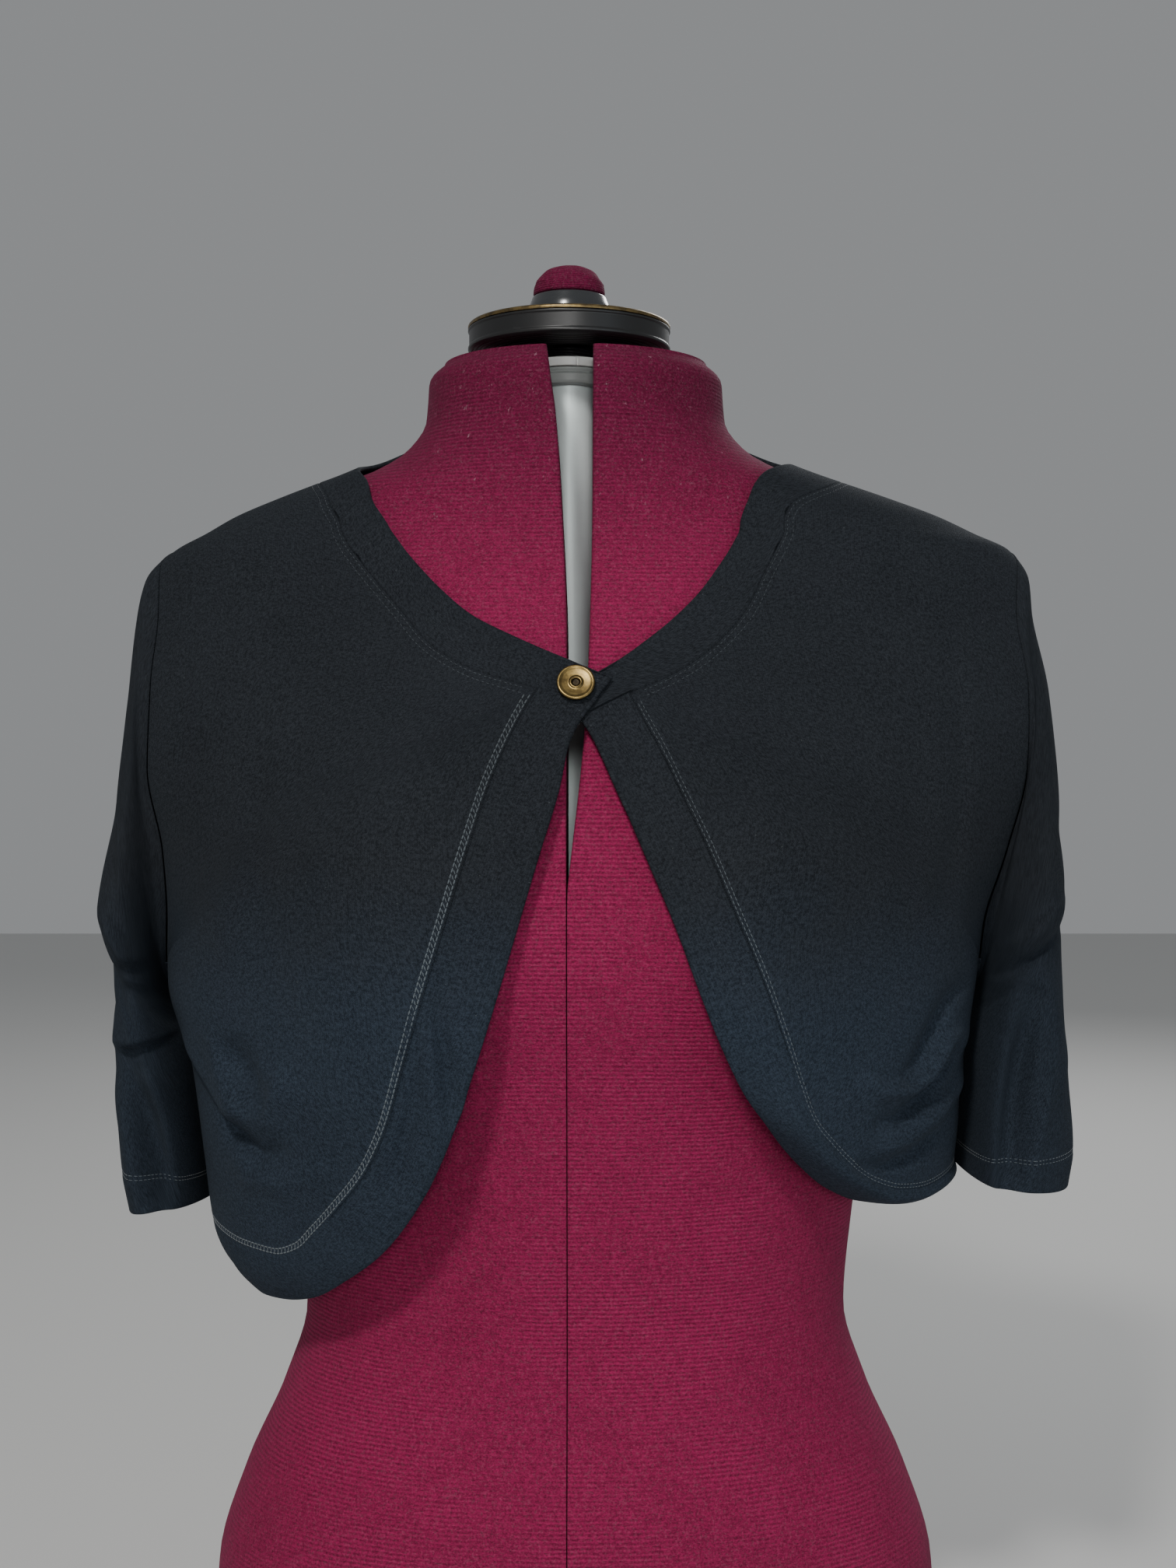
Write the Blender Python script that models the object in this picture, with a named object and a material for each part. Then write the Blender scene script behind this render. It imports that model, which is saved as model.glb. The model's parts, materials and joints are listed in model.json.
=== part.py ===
# Knitted shrug on a limbless dress form.
#
# The shrug is a cropped, open jersey cardigan with elbow sleeves. It is cut as a back, two fronts
# and two sleeves, and finished with a folded neckband, two curved front bands and a back hem band.
# One metal button at the neck holds the right front over the left front.
# The form under it is split down the middle, so that a neck dial can open its two halves.
#
# Right and left are the wearer's. The front looks along -Y, so the wearer's right is on -X.
# Every size in this script is in millimetres, and add_object turns millimetres into metres.
# Angles of the body surface are in degrees: 0 is the front, 90 is +X and 180 is the back.

import math
from bisect import bisect_right

import bmesh
import bpy
from mathutils import Vector

MM = 0.001

# Cloth walls and the gaps between pieces
JERSEY = 1.5          # one layer of jersey
BAND = 2.2            # a folded band, two layers
SEAM = 0.4            # gap between two pieces that are sewn together
SLEEVE_STEP = 0.45    # how far the sleeve head stands out of the armhole
ARM_CLEARANCE = 1.5   # gap between the side of the body and the sleeve beside it
LAP = 3.0             # height of the buttoned front over the one under it
TURN = 7.0            # distance over which a fold changes from its crest to its trough

# Armholes, as ellipses seen from the side
ARM_TOP = 549.0
ARM_BOTTOM = 349.0
ARM_DEPTH = 44.0

# Grid counts. Pieces that share a seam share its points.
SEAM_ROWS = 14        # rows of a front beside its front band
ARM_STEPS = 14        # rows of a front or back beside half an armhole
SHOULDER_STEPS = 4    # columns of the back along one shoulder
NECK_STEPS = 16       # columns of the back along the back of the neck
HEM_COLUMNS = 12      # columns of a front

# Dress form
SPLIT_X = -3.0        # plane where the two halves meet, and the axis of the dial
SPLIT_GAP = 0.3
FORM_GAP = 3.0        # from the cloth's outer face to the form at the neck and shoulders
FORM_TOP = 636.0
POLE_RADIUS = 12.25
CHANNEL_RADIUS = 14.2
SOCKET_RADIUS = 13.0
SOCKET_TOP = 40.0
COLLAR_RADIUS = 20.0
COLLAR_CHANNEL = 21.5
COLLAR_POCKET = 622.0
POLE_TOP = 630.0
DIAL_RADIUS = 47.5
DIAL_BOTTOM = 642.0
DIAL_TOP = 655.0
SPINDLE_RADIUS = 6.0
FIT = 0.3             # gap between hard pieces that touch

# Button
BUTTON_X = 0.8
BUTTON_Z = 479.9
BUTTON_RADIUS = 8.0


class Curve:
    """A smooth curve through points, which never overshoots between two of them."""

    def __init__(self, keys, values):
        self.keys = keys
        self.values = values
        steps = [b - a for a, b in zip(keys, keys[1:])]
        slopes = [(b - a) / step for a, b, step in zip(values, values[1:], steps)]
        self.tangents = [slopes[0]]
        for i in range(1, len(slopes)):
            before = slopes[i - 1]
            after = slopes[i]
            if before * after <= 0:
                self.tangents.append(0.0)
                continue
            heavy = 2 * steps[i] + steps[i - 1]
            light = steps[i] + 2 * steps[i - 1]
            self.tangents.append((heavy + light) / (heavy / before + light / after))
        self.tangents.append(slopes[-1])

    def at(self, key):
        key = min(max(key, self.keys[0]), self.keys[-1])
        i = min(bisect_right(self.keys, key), len(self.keys) - 1) - 1
        step = self.keys[i + 1] - self.keys[i]
        t = (key - self.keys[i]) / step
        start = (1 + 2 * t) * (1 - t) ** 2 * self.values[i]
        end = t * t * (3 - 2 * t) * self.values[i + 1]
        leave = t * (1 - t) ** 2 * step * self.tangents[i]
        arrive = t * t * (t - 1) * step * self.tangents[i + 1]
        return start + end + leave + arrive


class Table:
    """Rows of sizes with named columns, read smoothly from row to row."""

    def __init__(self, columns, rows, key=None):
        names = columns.split()
        self.count = len(rows)
        values = {name: [row[i] for row in rows] for i, name in enumerate(names)}
        keys = values[key] if key else list(range(self.count))
        self.curves = {name: Curve(keys, values[name]) for name in names[1:]}

    def at(self, name, key):
        return self.curves[name].at(key)


# The body surface: horizontal ovals of the cloth's outer face. Above the shoulder tips the
# ovals shrink along the shoulders to the neck, so the shoulder seams lie on their sides.
BODY = Table("name z left right front back power", [
    ("below hem",    195, 148, 158, 101,  88, 2.25),
    ("hem",          215, 157, 164, 107,  92, 2.25),
    ("low",          240, 168, 171, 112,  97, 2.25),
    ("waist side",   270, 172, 176, 118, 102, 2.25),
    ("ribs",         300, 176, 179, 123, 106, 2.25),
    ("under armpit", 318, 180, 181, 125, 109, 2.20),
    ("armpit",       349, 189, 186, 127, 113, 2.15),
    ("bust",         376, 190, 190, 127, 115, 2.10),
    ("chest",        410, 195, 204, 126, 116, 2.05),
    ("mid armhole",  448, 206, 218, 120, 115, 2.00),
    ("button",       483, 207, 221, 107, 111, 2.00),
    ("high chest",   515, 203, 215,  91, 105, 2.00),
    ("shoulder tip", 541, 196, 209,  79,  97, 2.00),
    ("shoulder 1",   549, 187, 203,  76,  93, 2.00),
    ("shoulder 2",   556, 174, 188,  73,  90, 2.00),
    ("shoulder 3",   564, 160, 171,  70,  86, 2.00),
    ("shoulder 4",   572, 141, 149,  68,  81, 2.00),
    ("shoulder 5",   581, 117, 122,  66,  76, 2.00),
    ("neck root",    588,  98, 101,  65,  72, 2.00),
    ("neck low",     598,  82,  83,  64,  68, 2.00),
    ("neck",         612,  73,  73,  63,  65, 2.00),
    ("neck top",     645,  71,  71,  62,  64, 2.00),
], key="z")

# The form's own ovals, up to the shoulders. From there on it follows the cloth's ovals.
FORM = Table("name z half front back power", [
    ("base",        0, 157, 101, 115, 2.30),
    ("base round",  5, 163, 106, 121, 2.30),
    ("hip",        40, 167, 109, 124, 2.30),
    ("hip top",    85, 165, 110, 122, 2.30),
    ("high hip",  125, 153, 106, 107, 2.25),
    ("low waist", 165, 135,  97,  88, 2.20),
    ("waist",     200, 125,  92,  79, 2.20),
    ("ribs",      245, 129,  96,  82, 2.20),
    ("underbust", 300, 138, 104,  90, 2.20),
    ("bust",      372, 150, 117, 100, 2.15),
    ("chest",     420, 157, 115, 106, 2.05),
    ("armplate",  483, 166, 102, 106, 2.00),
    ("high",      515, 174,  88, 101, 2.00),
    ("tip",       541, 179,  75,  91, 2.00),
    ("shoulder",  549, 173,  71,  87, 2.00),
    ("slope",     564, 147,  65,  80, 2.00),
    ("neck",      600,  80,  62,  64, 2.00),
], key="z")

# Bust mounds: beside the centre, with one spread above the apex and another below it
MOUND = {"x": 76.0, "z": 376.0, "height": 15.0, "across": 44.0, "above": 60.0, "below": 190.0}
FORM_MOUND = {"x": 74.0, "z": 374.0, "height": 19.0, "across": 42.0, "above": 52.0, "below": 55.0}

# Half widths of the slot between the form's halves, from SPLIT_X to each side
SLOT = Table("name z right left", [
    ("closed",      395, 0.15, 0.15),
    ("button",      465, 0.15, 7.50),
    ("low neck",    500, 0.15, 9.30),
    ("mid neck",    565, 2.70, 10.8),
    ("neck",        605, 5.50, 11.0),
    ("ring",        621, 7.70, 11.1),
    ("top",         640, 10.0, 11.2),
], key="z")

# Front bands, from the button down and round to the side seam. Seam is where the band is sewn
# to its front, edge is the open edge, and tuck is how far the edge rolls in under the hem.
RIGHT_BAND = Table("name seam_x seam_z edge_x edge_z tuck", [
    ("top",         -15.8, 478.0,    7.8, 472.1,  0),
    ("tab foot",    -19.5, 472.0,    3.3, 466.0,  0),
    ("opening",     -25.0, 462.0,   -1.4, 457.0,  0),
    ("chest",       -34.5, 441.0,   -6.0, 437.0,  0),
    ("bust top",    -43.0, 415.0,  -14.5, 409.0,  0),
    ("bust",        -52.0, 385.0,  -23.5, 378.0,  0),
    ("under bust",  -61.0, 355.0,  -32.5, 347.5,  0),
    ("ribs",        -69.0, 327.0,  -41.5, 319.0,  0),
    ("curve 1",     -76.5, 300.0,  -51.5, 290.0,  0),
    ("curve 2",     -86.0, 280.0,  -63.5, 266.0,  1),
    ("curve 3",     -98.0, 264.0,  -79.0, 245.0,  2),
    ("curve 4",    -109.0, 251.0,  -97.5, 229.0,  3),
    ("hem 1",      -118.0, 241.5, -114.0, 217.5,  4),
    ("hem 2",      -130.0, 237.0, -131.0, 211.5,  5),
    ("hem 3",      -145.0, 237.5, -146.0, 209.5,  5),
    ("side",       -169.0, 242.0, -156.5, 213.0,  5),
])
LEFT_BAND = Table("name seam_x seam_z edge_x edge_z tuck", [
    ("top",          23.7, 477.4,    3.0, 466.4,  0),
    ("tab foot",     28.0, 469.0,    6.5, 461.5,  0),
    ("opening",      36.5, 453.0,   12.0, 451.5,  0),
    ("chest",        43.0, 439.0,   19.5, 434.0,  0),
    ("bust top",     53.5, 416.5,   28.5, 412.0,  0),
    ("bust",         65.0, 389.0,   40.0, 384.5,  0),
    ("under bust",   76.0, 363.0,   51.0, 355.0,  0),
    ("ribs",         85.5, 337.0,   61.0, 330.0,  1),
    ("curve 1",      92.5, 316.5,   69.5, 313.0,  4),
    ("curve 2",      99.0, 300.0,   80.0, 299.5,  8),
    ("curve 3",     108.0, 288.5,   92.5, 285.5, 13),
    ("curve 4",     118.5, 277.5,  105.0, 273.5, 16),
    ("hem 1",       129.5, 269.5,  118.0, 263.0, 18),
    ("hem 2",       141.0, 265.0,  134.0, 255.0, 18),
    ("hem 3",       154.0, 263.5,  150.0, 252.0, 17),
    ("side",        176.0, 267.0,  174.0, 254.0, 15),
])
BAND_CORNER = 12      # row where each front's lower edge leaves its front edge

# The back hem band, from the right side seam round the back to the left side seam
HEM_BAND = Table("name angle seam_z edge_z tuck", [
    ("right side", -90, 242.0, 213.0,  5),
    ("right back", -125, 245.0, 217.0, 4),
    ("back",       -180, 253.0, 226.0, 4),
    ("left back",  -235, 261.0, 238.0, 9),
    ("left side",  -270, 267.0, 254.0, 15),
])

# The neckband, from the buttoned tab round the back of the neck to the end under the tab.
# Stand is how far its free edge stands off the body surface.
NECKBAND = Table("name seam_angle seam_z edge_angle edge_z stand", [
    ("tab end",        2.0, 472.6,     4.2, 483.5,  0.0),
    ("button",        -1.1, 475.6,    -0.3, 490.7,  0.0),
    ("right corner",  -4.4, 478.5,    -4.5, 497.2,  0.0),
    ("right 1",       -7.9, 482.5,    -8.4, 504.3,  0.0),
    ("right 2",      -12.6, 489.0,   -12.6, 513.0,  0.0),
    ("right 3",      -17.5, 499.5,   -16.5, 524.0,  0.0),
    ("right 4",      -21.5, 514.0,   -19.8, 534.6,  0.0),
    ("right 5",      -26.0, 529.5,   -23.4, 545.5,  0.0),
    ("right 6",      -31.2, 545.0,   -28.8, 556.5,  0.0),
    ("right 7",      -39.0, 559.0,   -36.0, 567.0,  0.0),
    ("right 8",      -50.0, 570.0,   -47.0, 577.0,  0.0),
    ("right 9",      -68.0, 577.5,   -67.0, 584.5,  0.5),
    ("right shoulder", -90.0, 581.0, -90.0, 589.0,  1.0),
    ("back 1",      -110.0, 585.0,  -110.0, 598.5,  4.0),
    ("back 2",      -130.0, 589.0,  -130.0, 607.5,  9.0),
    ("back 3",      -155.0, 591.0,  -155.0, 610.5, 12.0),
    ("back 4",      -180.0, 592.0,  -180.0, 611.0, 13.0),
    ("back 5",      -205.0, 591.0,  -205.0, 610.5, 12.0),
    ("back 6",      -230.0, 589.0,  -230.0, 607.5,  9.0),
    ("back 7",      -250.0, 585.0,  -250.0, 598.5,  4.0),
    ("left shoulder", -270.0, 581.0, -270.0, 589.0, 1.0),
    ("left 9",      -292.0, 578.0,  -295.0, 586.0,  0.5),
    ("left 8",      -312.0, 572.0,  -315.0, 581.0,  0.0),
    ("left 7",      -325.7, 564.0,  -326.5, 573.5,  0.0),
    ("left 6",      -333.0, 549.5,  -335.0, 561.5,  0.0),
    ("left 5",      -336.8, 533.0,  -339.6, 548.5,  0.0),
    ("left 4",      -339.8, 515.0,  -342.4, 536.5,  0.0),
    ("left 3",      -343.4, 501.0,  -345.5, 522.5,  0.0),
    ("left 2",      -347.0, 490.5,  -348.9, 510.5,  0.0),
    ("left 1",      -350.5, 483.2,  -352.1, 501.0,  0.0),
    ("left corner", -353.8, 477.9,  -354.8, 493.5,  0.0),
    ("under tab",   -356.6, 472.6,  -358.2, 485.7,  0.0),
    ("under end",   -359.2, 467.2,  -362.2, 477.0,  0.0),
])
RIGHT_CORNER = 2
RIGHT_SHOULDER = 12
LEFT_SHOULDER = 20
LEFT_CORNER = 30

# Sleeves, from the armhole to the cuff. Each section is an oval between an outer line and an
# inner line beside the body, and ridge says where its deepest point lies from inner to outer.
RIGHT_SLEEVE = Table("name v out_x out_z in_z ridge front back front_z", [
    ("armhole",    0.00, -187.0, 549, 349, 0.50, 44, 44,  0),
    ("cap",        0.03, -194.7, 541, 348, 0.50, 44, 44,  0),
    ("cap side",   0.08, -199.7, 525, 347, 0.50, 46, 46,  0),
    ("upper arm",  0.20, -205.2, 488, 345, 0.50, 49, 49,  0),
    ("biceps",     0.36, -210.9, 439, 342, 0.48, 52, 53,  0),
    ("bulge",      0.53, -219.2, 387, 334, 0.46, 54, 56,  0),
    ("fold",       0.61, -215.2, 363, 325, 0.44, 54, 57,  0),
    ("below fold", 0.68, -212.9, 342, 312, 0.42, 55, 57,  1),
    ("elbow",      0.82, -211.5, 299, 283, 0.42, 57, 58,  3),
    ("low",        0.93, -208.9, 266, 260, 0.44, 60, 60,  4),
    ("cuff",       1.00, -204.4, 244, 247, 0.45, 61, 61,  5),
], key="v")
LEFT_SLEEVE = Table("name v out_x out_z in_z ridge front back front_z", [
    ("armhole",    0.00, 203.0, 549, 349, 0.50, 44, 44,  0),
    ("cap",        0.03, 208.7, 540, 348, 0.50, 44, 44,  0),
    ("cap side",   0.08, 210.4, 525, 347, 0.50, 46, 46,  0),
    ("upper arm",  0.20, 218.9, 488, 346, 0.50, 49, 49,  0),
    ("biceps",     0.36, 223.5, 440, 344, 0.48, 52, 53,  0),
    ("bulge",      0.53, 225.2, 389, 338, 0.45, 54, 56,  0),
    ("fold",       0.61, 225.7, 366, 330, 0.42, 54, 57,  0),
    ("below fold", 0.68, 225.9, 346, 319, 0.36, 55, 57,  0),
    ("elbow",      0.82, 228.9, 305, 294, 0.24, 58, 58, -1),
    ("low",        0.93, 231.2, 275, 275, 0.20, 60, 60, -1),
    ("cuff",       1.00, 228.4, 256, 264, 0.20, 61, 61, -1),
], key="v")
SLEEVE_ROWS = [0, 0.02, 0.05, 0.09, 0.15, 0.22, 0.30, 0.38, 0.45, 0.51, 0.56, 0.61, 0.66, 0.72, 0.79,
               0.86, 0.93, 1.0]
SLEEVE_POWER = 2.1
TOP_BLEND = 0.30      # share of the sleeve over which it leaves the armhole's own shape, on top
ARMPIT_BLEND = 0.07   # the same share at the armpit

# Folds, seen from the front and from the back: a line, a width, and the cloth's height above
# and below that line. A fold whose two heights are equal is a ridge or a trough.
FOLD_COLUMNS = ("name", "piece", "facing", "x0", "z0", "x1", "z1", "width", "above", "below")
FOLDS = [dict(zip(FOLD_COLUMNS, row)) for row in [
    ("right armpit overhang", "sleeve",  1, -222, 382, -198, 352, 16, 3.5, -4.5),
    ("right elbow crease",    "sleeve",  1, -210, 314, -186, 320,  9, 1.5, -4.0),
    ("right sleeve pocket",   "sleeve",  1, -193, 298, -181, 262,  9, -3.5, -3.5),
    ("left armpit overhang",  "sleeve",  1,  230, 384,  190, 352, 16, 4.5, -6.0),
    ("left hook",             "sleeve",  1,  194, 350,  193, 336,  6, 2.5, 2.5),
    ("right back overhang",   "sleeve", -1, -222, 384, -196, 354, 16, 3.5, -4.0),
    ("left back overhang",    "sleeve", -1,  229, 386,  192, 354, 16, 4.0, -5.0),
    ("right swag outer",      "body",    1, -174, 317, -151, 295,  9, 3.0, -2.5),
    ("right swag inner",      "body",    1, -149, 293, -128, 306,  9, 3.0, -2.0),
    ("right front drop",      "body",    1, -150, 440, -146, 375, 12, 1.6, 1.6),
    ("left upper drag",       "body",    1,  180, 322,  157, 306,  8, 2.5, -2.5),
    ("left lower drag",       "body",    1,  176, 300,  142, 288,  8, 2.5, -2.5),
    ("left front drop",       "body",    1,  170, 476,  166, 378, 11, 1.8, 1.8),
    ("right back drag",       "body",   -1, -172, 326, -138, 300, 11, 2.5, -2.0),
    ("left back drag",        "body",   -1,  176, 330,  146, 303, 11, 2.5, -2.0),
    ("right shoulder drop",   "body",   -1, -150, 470, -132, 380, 14, 1.8, 1.8),
    ("left shoulder drop",    "body",   -1,  158, 476,  140, 384, 14, 1.8, 1.8),
]]

# Colour, roughness and metallic value of each material
MATERIALS = {
    "navy jersey": ((0.014, 0.020, 0.027), 0.85, 0.0),
    "wine cover": ((0.190, 0.012, 0.048), 0.80, 0.0),
    "aluminium": ((0.62, 0.70, 0.70), 0.30, 1.0),
    "white plastic": ((0.80, 0.80, 0.78), 0.40, 0.0),
    "black plastic": ((0.010, 0.010, 0.011), 0.35, 0.0),
    "brass": ((0.45, 0.29, 0.10), 0.28, 1.0),
}


def remove_all():
    """Empty the scene."""
    for item in list(bpy.data.objects):
        bpy.data.objects.remove(item, do_unlink=True)


def material(name):
    """A Principled material with the colour of the real piece."""
    colour, roughness, metallic = MATERIALS[name]
    made = bpy.data.materials.get(name) or bpy.data.materials.new(name)
    made.use_nodes = True
    shader = made.node_tree.nodes["Principled BSDF"]
    shader.inputs["Base Color"].default_value = (*colour, 1.0)
    shader.inputs["Roughness"].default_value = roughness
    shader.inputs["Metallic"].default_value = metallic
    return made


def add_object(name, mesh, look, crease=60.0, place=(0.0, 0.0, 0.0)):
    """Turn a bmesh in millimetres into a named object in metres, with its origin at place."""
    bmesh.ops.scale(mesh, vec=(MM, MM, MM), verts=mesh.verts)
    bmesh.ops.recalc_face_normals(mesh, faces=mesh.faces)
    data = bpy.data.meshes.new(name)
    mesh.to_mesh(data)
    mesh.free()
    data.shade_smooth()
    data.set_sharp_from_angle(angle=math.radians(crease))
    data.materials.append(material(look))
    made = bpy.data.objects.new(name, data)
    made.location = Vector(place) * MM
    bpy.context.scene.collection.objects.link(made)
    return made


def wall(name, outer, inner, look, closed=False):
    """A cloth wall between two grids of points, each a list of rows."""
    mesh = bmesh.new()
    over = [[mesh.verts.new(point) for point in row] for row in outer]
    under = [[mesh.verts.new(point) for point in row] for row in inner]
    rows = len(over)
    columns = len(over[0])
    spans = columns if closed else columns - 1
    for row in range(rows - 1):
        for column in range(spans):
            after = (column + 1) % columns
            for grid, turn in ((over, 1), (under, -1)):
                corners = [grid[row][column], grid[row][after]]
                corners += [grid[row + 1][after], grid[row + 1][column]]
                mesh.faces.new(corners[::turn])
    for row in (0, rows - 1):
        for column in range(spans):
            after = (column + 1) % columns
            corners = [over[row][column], over[row][after], under[row][after], under[row][column]]
            mesh.faces.new(corners)
    if not closed:
        for column in (0, columns - 1):
            for row in range(rows - 1):
                corners = [over[row][column], over[row + 1][column]]
                corners += [under[row + 1][column], under[row][column]]
                mesh.faces.new(corners)
    return add_object(name, mesh, look)


def turned(name, profile, look, segments=32, centre=(SPLIT_X, 0.0, 0.0), axis=None):
    """A closed body of revolution with its origin on its own axis.

    The profile lists radius and height, and closes on itself.
    """
    mesh = bmesh.new()
    rings = []
    for radius, height in profile:
        if radius == 0:
            rings.append([mesh.verts.new((0, 0, height))])
            continue
        ring = []
        for step in range(segments):
            angle = 2 * math.pi * step / segments
            ring.append(mesh.verts.new((radius * math.cos(angle), radius * math.sin(angle), height)))
        rings.append(ring)
    pairs = list(zip(rings, rings[1:]))
    if len(rings[0]) > 1:
        pairs.append((rings[-1], rings[0]))
    for low, high in pairs:
        for step in range(segments):
            after = (step + 1) % segments
            corners = [low[step % len(low)], low[after % len(low)]]
            corners += [high[after % len(high)], high[step % len(high)]]
            unique = list(dict.fromkeys(corners))
            mesh.faces.new(unique)
    if axis is not None:
        turn = Vector((0, 0, 1)).rotation_difference(axis)
        bmesh.ops.rotate(mesh, cent=(0, 0, 0), matrix=turn.to_matrix(), verts=mesh.verts)
    return add_object(name, mesh, look, crease=30.0, place=centre)


def smooth(value):
    """A soft step from 0 to 1."""
    value = min(max(value, 0.0), 1.0)
    return value * value * (3 - 2 * value)


def blend(start, end, share):
    return start + (end - start) * share


def signed_power(value, power):
    return math.copysign(abs(value) ** power, value)


def mound_height(mound, x, z):
    """Height of the two bust mounds at a place on the front."""
    spread = mound["above"] if z > mound["z"] else mound["below"]
    upright = ((z - mound["z"]) / spread) ** 2
    total = 0.0
    for side in (-1, 1):
        across = ((x - side * mound["x"]) / mound["across"]) ** 2
        total += mound["height"] * math.exp(-across - upright)
    return total


def oval_point(angle, z, left, right, front, back, power, mound):
    """Point of a horizontal oval, with the bust mounds on its front."""
    across = signed_power(math.sin(math.radians(angle)), 2 / power)
    forward = signed_power(math.cos(math.radians(angle)), 2 / power)
    x = across * (right if across > 0 else left)
    y = -forward * (front if forward > 0 else back)
    y -= mound_height(mound, x, z) * smooth(forward / 0.4)
    return Vector((x, y, z))


def body_point(angle, z):
    """Point of the body surface without its folds."""
    sizes = [BODY.at(name, z) for name in ("left", "right", "front", "back", "power")]
    return oval_point(angle, z, *sizes, MOUND)


def body_slopes(angle, z):
    """How the body surface runs with the angle and with the height."""
    by_angle = (body_point(angle + 0.2, z) - body_point(angle - 0.2, z)) / 0.4
    by_height = (body_point(angle, z + 0.4) - body_point(angle, z - 0.4)) / 0.8
    return by_angle, by_height


def body_normal(angle, z):
    """The outward direction of the body surface."""
    by_angle, by_height = body_slopes(angle, z)
    return by_angle.cross(by_height).normalized()


def angle_at(x, z):
    """Angle of the place on the body's front that lies at x, at most at the side seam."""
    side = math.copysign(1.0, x)
    half = BODY.at("right" if x > 0 else "left", z)
    share = min(abs(x) / half, 1.0)
    angle = math.degrees(math.asin(share ** (BODY.at("power", z) / 2)))
    return side * min(angle, abs(side_angle(z, side, 1)))


def moved(spot, step):
    """The spot that lies a small step in space away from another spot on the body surface."""
    by_angle, by_height = body_slopes(*spot)
    aa = by_angle.dot(by_angle)
    ah = by_angle.dot(by_height)
    hh = by_height.dot(by_height)
    sa = by_angle.dot(step)
    sh = by_height.dot(step)
    scale = aa * hh - ah * ah
    return (spot[0] + (sa * hh - sh * ah) / scale, spot[1] + (sh * aa - sa * ah) / scale)


def fold_height(piece, facing, x, z):
    """Height of the folds of a piece over its plain surface."""
    total = 0.0
    for fold in FOLDS:
        if fold["piece"] != piece or fold["facing"] * facing < 0:
            continue
        run_x = fold["x1"] - fold["x0"]
        run_z = fold["z1"] - fold["z0"]
        length = math.hypot(run_x, run_z)
        along = ((x - fold["x0"]) * run_x + (z - fold["z0"]) * run_z) / length
        beyond = max(-along, along - length, 0.0)
        offset = ((z - fold["z0"]) * run_x - (x - fold["x0"]) * run_z) / length
        offset = math.copysign(1.0, run_x) * offset
        fade = math.exp(-(beyond / fold["width"]) ** 2)
        fade *= math.exp(-(offset / fold["width"]) ** 2)
        share = smooth(0.5 + offset / (2 * TURN))
        total += fade * blend(fold["below"], fold["above"], share)
    return total


def lap_height(x, z):
    """How far the buttoned front rises over the front under it."""
    return LAP * smooth((x + 48) / 34) * smooth((z - 425) / 34)


def cloth_point(spot, right_front=False):
    """Outer point of the cloth at a spot, with its folds and its lap, and its normal."""
    angle, z = spot
    point = body_point(angle, z)
    normal = body_normal(angle, z)
    facing = math.cos(math.radians(angle))
    height = fold_height("body", facing, point.x, z) * smooth(abs(facing) / 0.35)
    if right_front:
        height += lap_height(point.x, z)
    return point + normal * height, normal


def side_angle(z, side, facing):
    """Angle just in front of a side seam, or just behind it. Side is -1 for the right."""
    depth = BODY.at("front" if facing > 0 else "back", z)
    share = (SEAM / 2 / depth) ** (BODY.at("power", z) / 2)
    return side * (90 - facing * math.degrees(math.asin(share)))


def armhole_spot(side, turn, grow=0.0):
    """Spot on an armhole. Turn is 0 at the top, 180 at the bottom, and grows through the front."""
    centre = (ARM_TOP + ARM_BOTTOM) / 2
    height = (ARM_TOP - ARM_BOTTOM) / 2 + grow
    z = centre + height * math.cos(math.radians(turn))
    depth = (ARM_DEPTH + grow) * math.sin(math.radians(turn))
    reach = BODY.at("front" if depth > 0 else "back", z)
    share = min(abs(depth) / reach, 1.0) ** (BODY.at("power", z) / 2)
    lean = math.degrees(math.asin(share))
    return side * (90 - math.copysign(lean, depth)), z


def band_spots(band, key):
    """Seam spot and edge spot of a front band at one key of its table."""
    seam_z = band.at("seam_z", key)
    edge_z = band.at("edge_z", key)
    seam = (angle_at(band.at("seam_x", key), seam_z), seam_z)
    edge = (angle_at(band.at("edge_x", key), edge_z), edge_z)
    return seam, edge


def neck_spots(key):
    """Seam spot and edge spot of the neckband at one key of its table."""
    seam = (NECKBAND.at("seam_angle", key), NECKBAND.at("seam_z", key))
    edge = (NECKBAND.at("edge_angle", key), NECKBAND.at("edge_z", key))
    return seam, edge


def away_from(seam_at, key, step, sign):
    """Spot beside a seam, one seam gap away from it. Sign picks the side."""
    here = seam_at(key)
    run = body_point(*seam_at(key + step)) - body_point(*seam_at(key - step))
    across = body_normal(*here).cross(run).normalized()
    return moved(here, across * (sign * SEAM))


def steps(start, end, count):
    return [blend(start, end, i / count) for i in range(count + 1)]


def grid_wall(name, spots, right_front=False):
    """A jersey panel through a grid of spots on the body surface."""
    outer = []
    inner = []
    for row in spots:
        pairs = [cloth_point(spot, right_front) for spot in row]
        outer.append([point for point, normal in pairs])
        inner.append([point - normal * JERSEY for point, normal in pairs])
    return wall(name, outer, inner, "navy jersey")


def side_column(side, facing, hem_z):
    """Spots up a side seam and an armhole, from the hem to the shoulder tip."""
    low_rows = SEAM_ROWS + (RIGHT_SHOULDER - RIGHT_CORNER) - ARM_STEPS
    column = []
    for z in steps(hem_z + SEAM, ARM_BOTTOM - SEAM, low_rows):
        column.append((side_angle(z, side, facing), z))
    for step in range(1, ARM_STEPS + 1):
        turn = facing * (180 - 180 * step / ARM_STEPS)
        angle, z = armhole_spot(side, turn, grow=SEAM)
        if step == ARM_STEPS:
            angle = side_angle(z, side, facing)
        column.append((angle, z))
    return column


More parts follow.
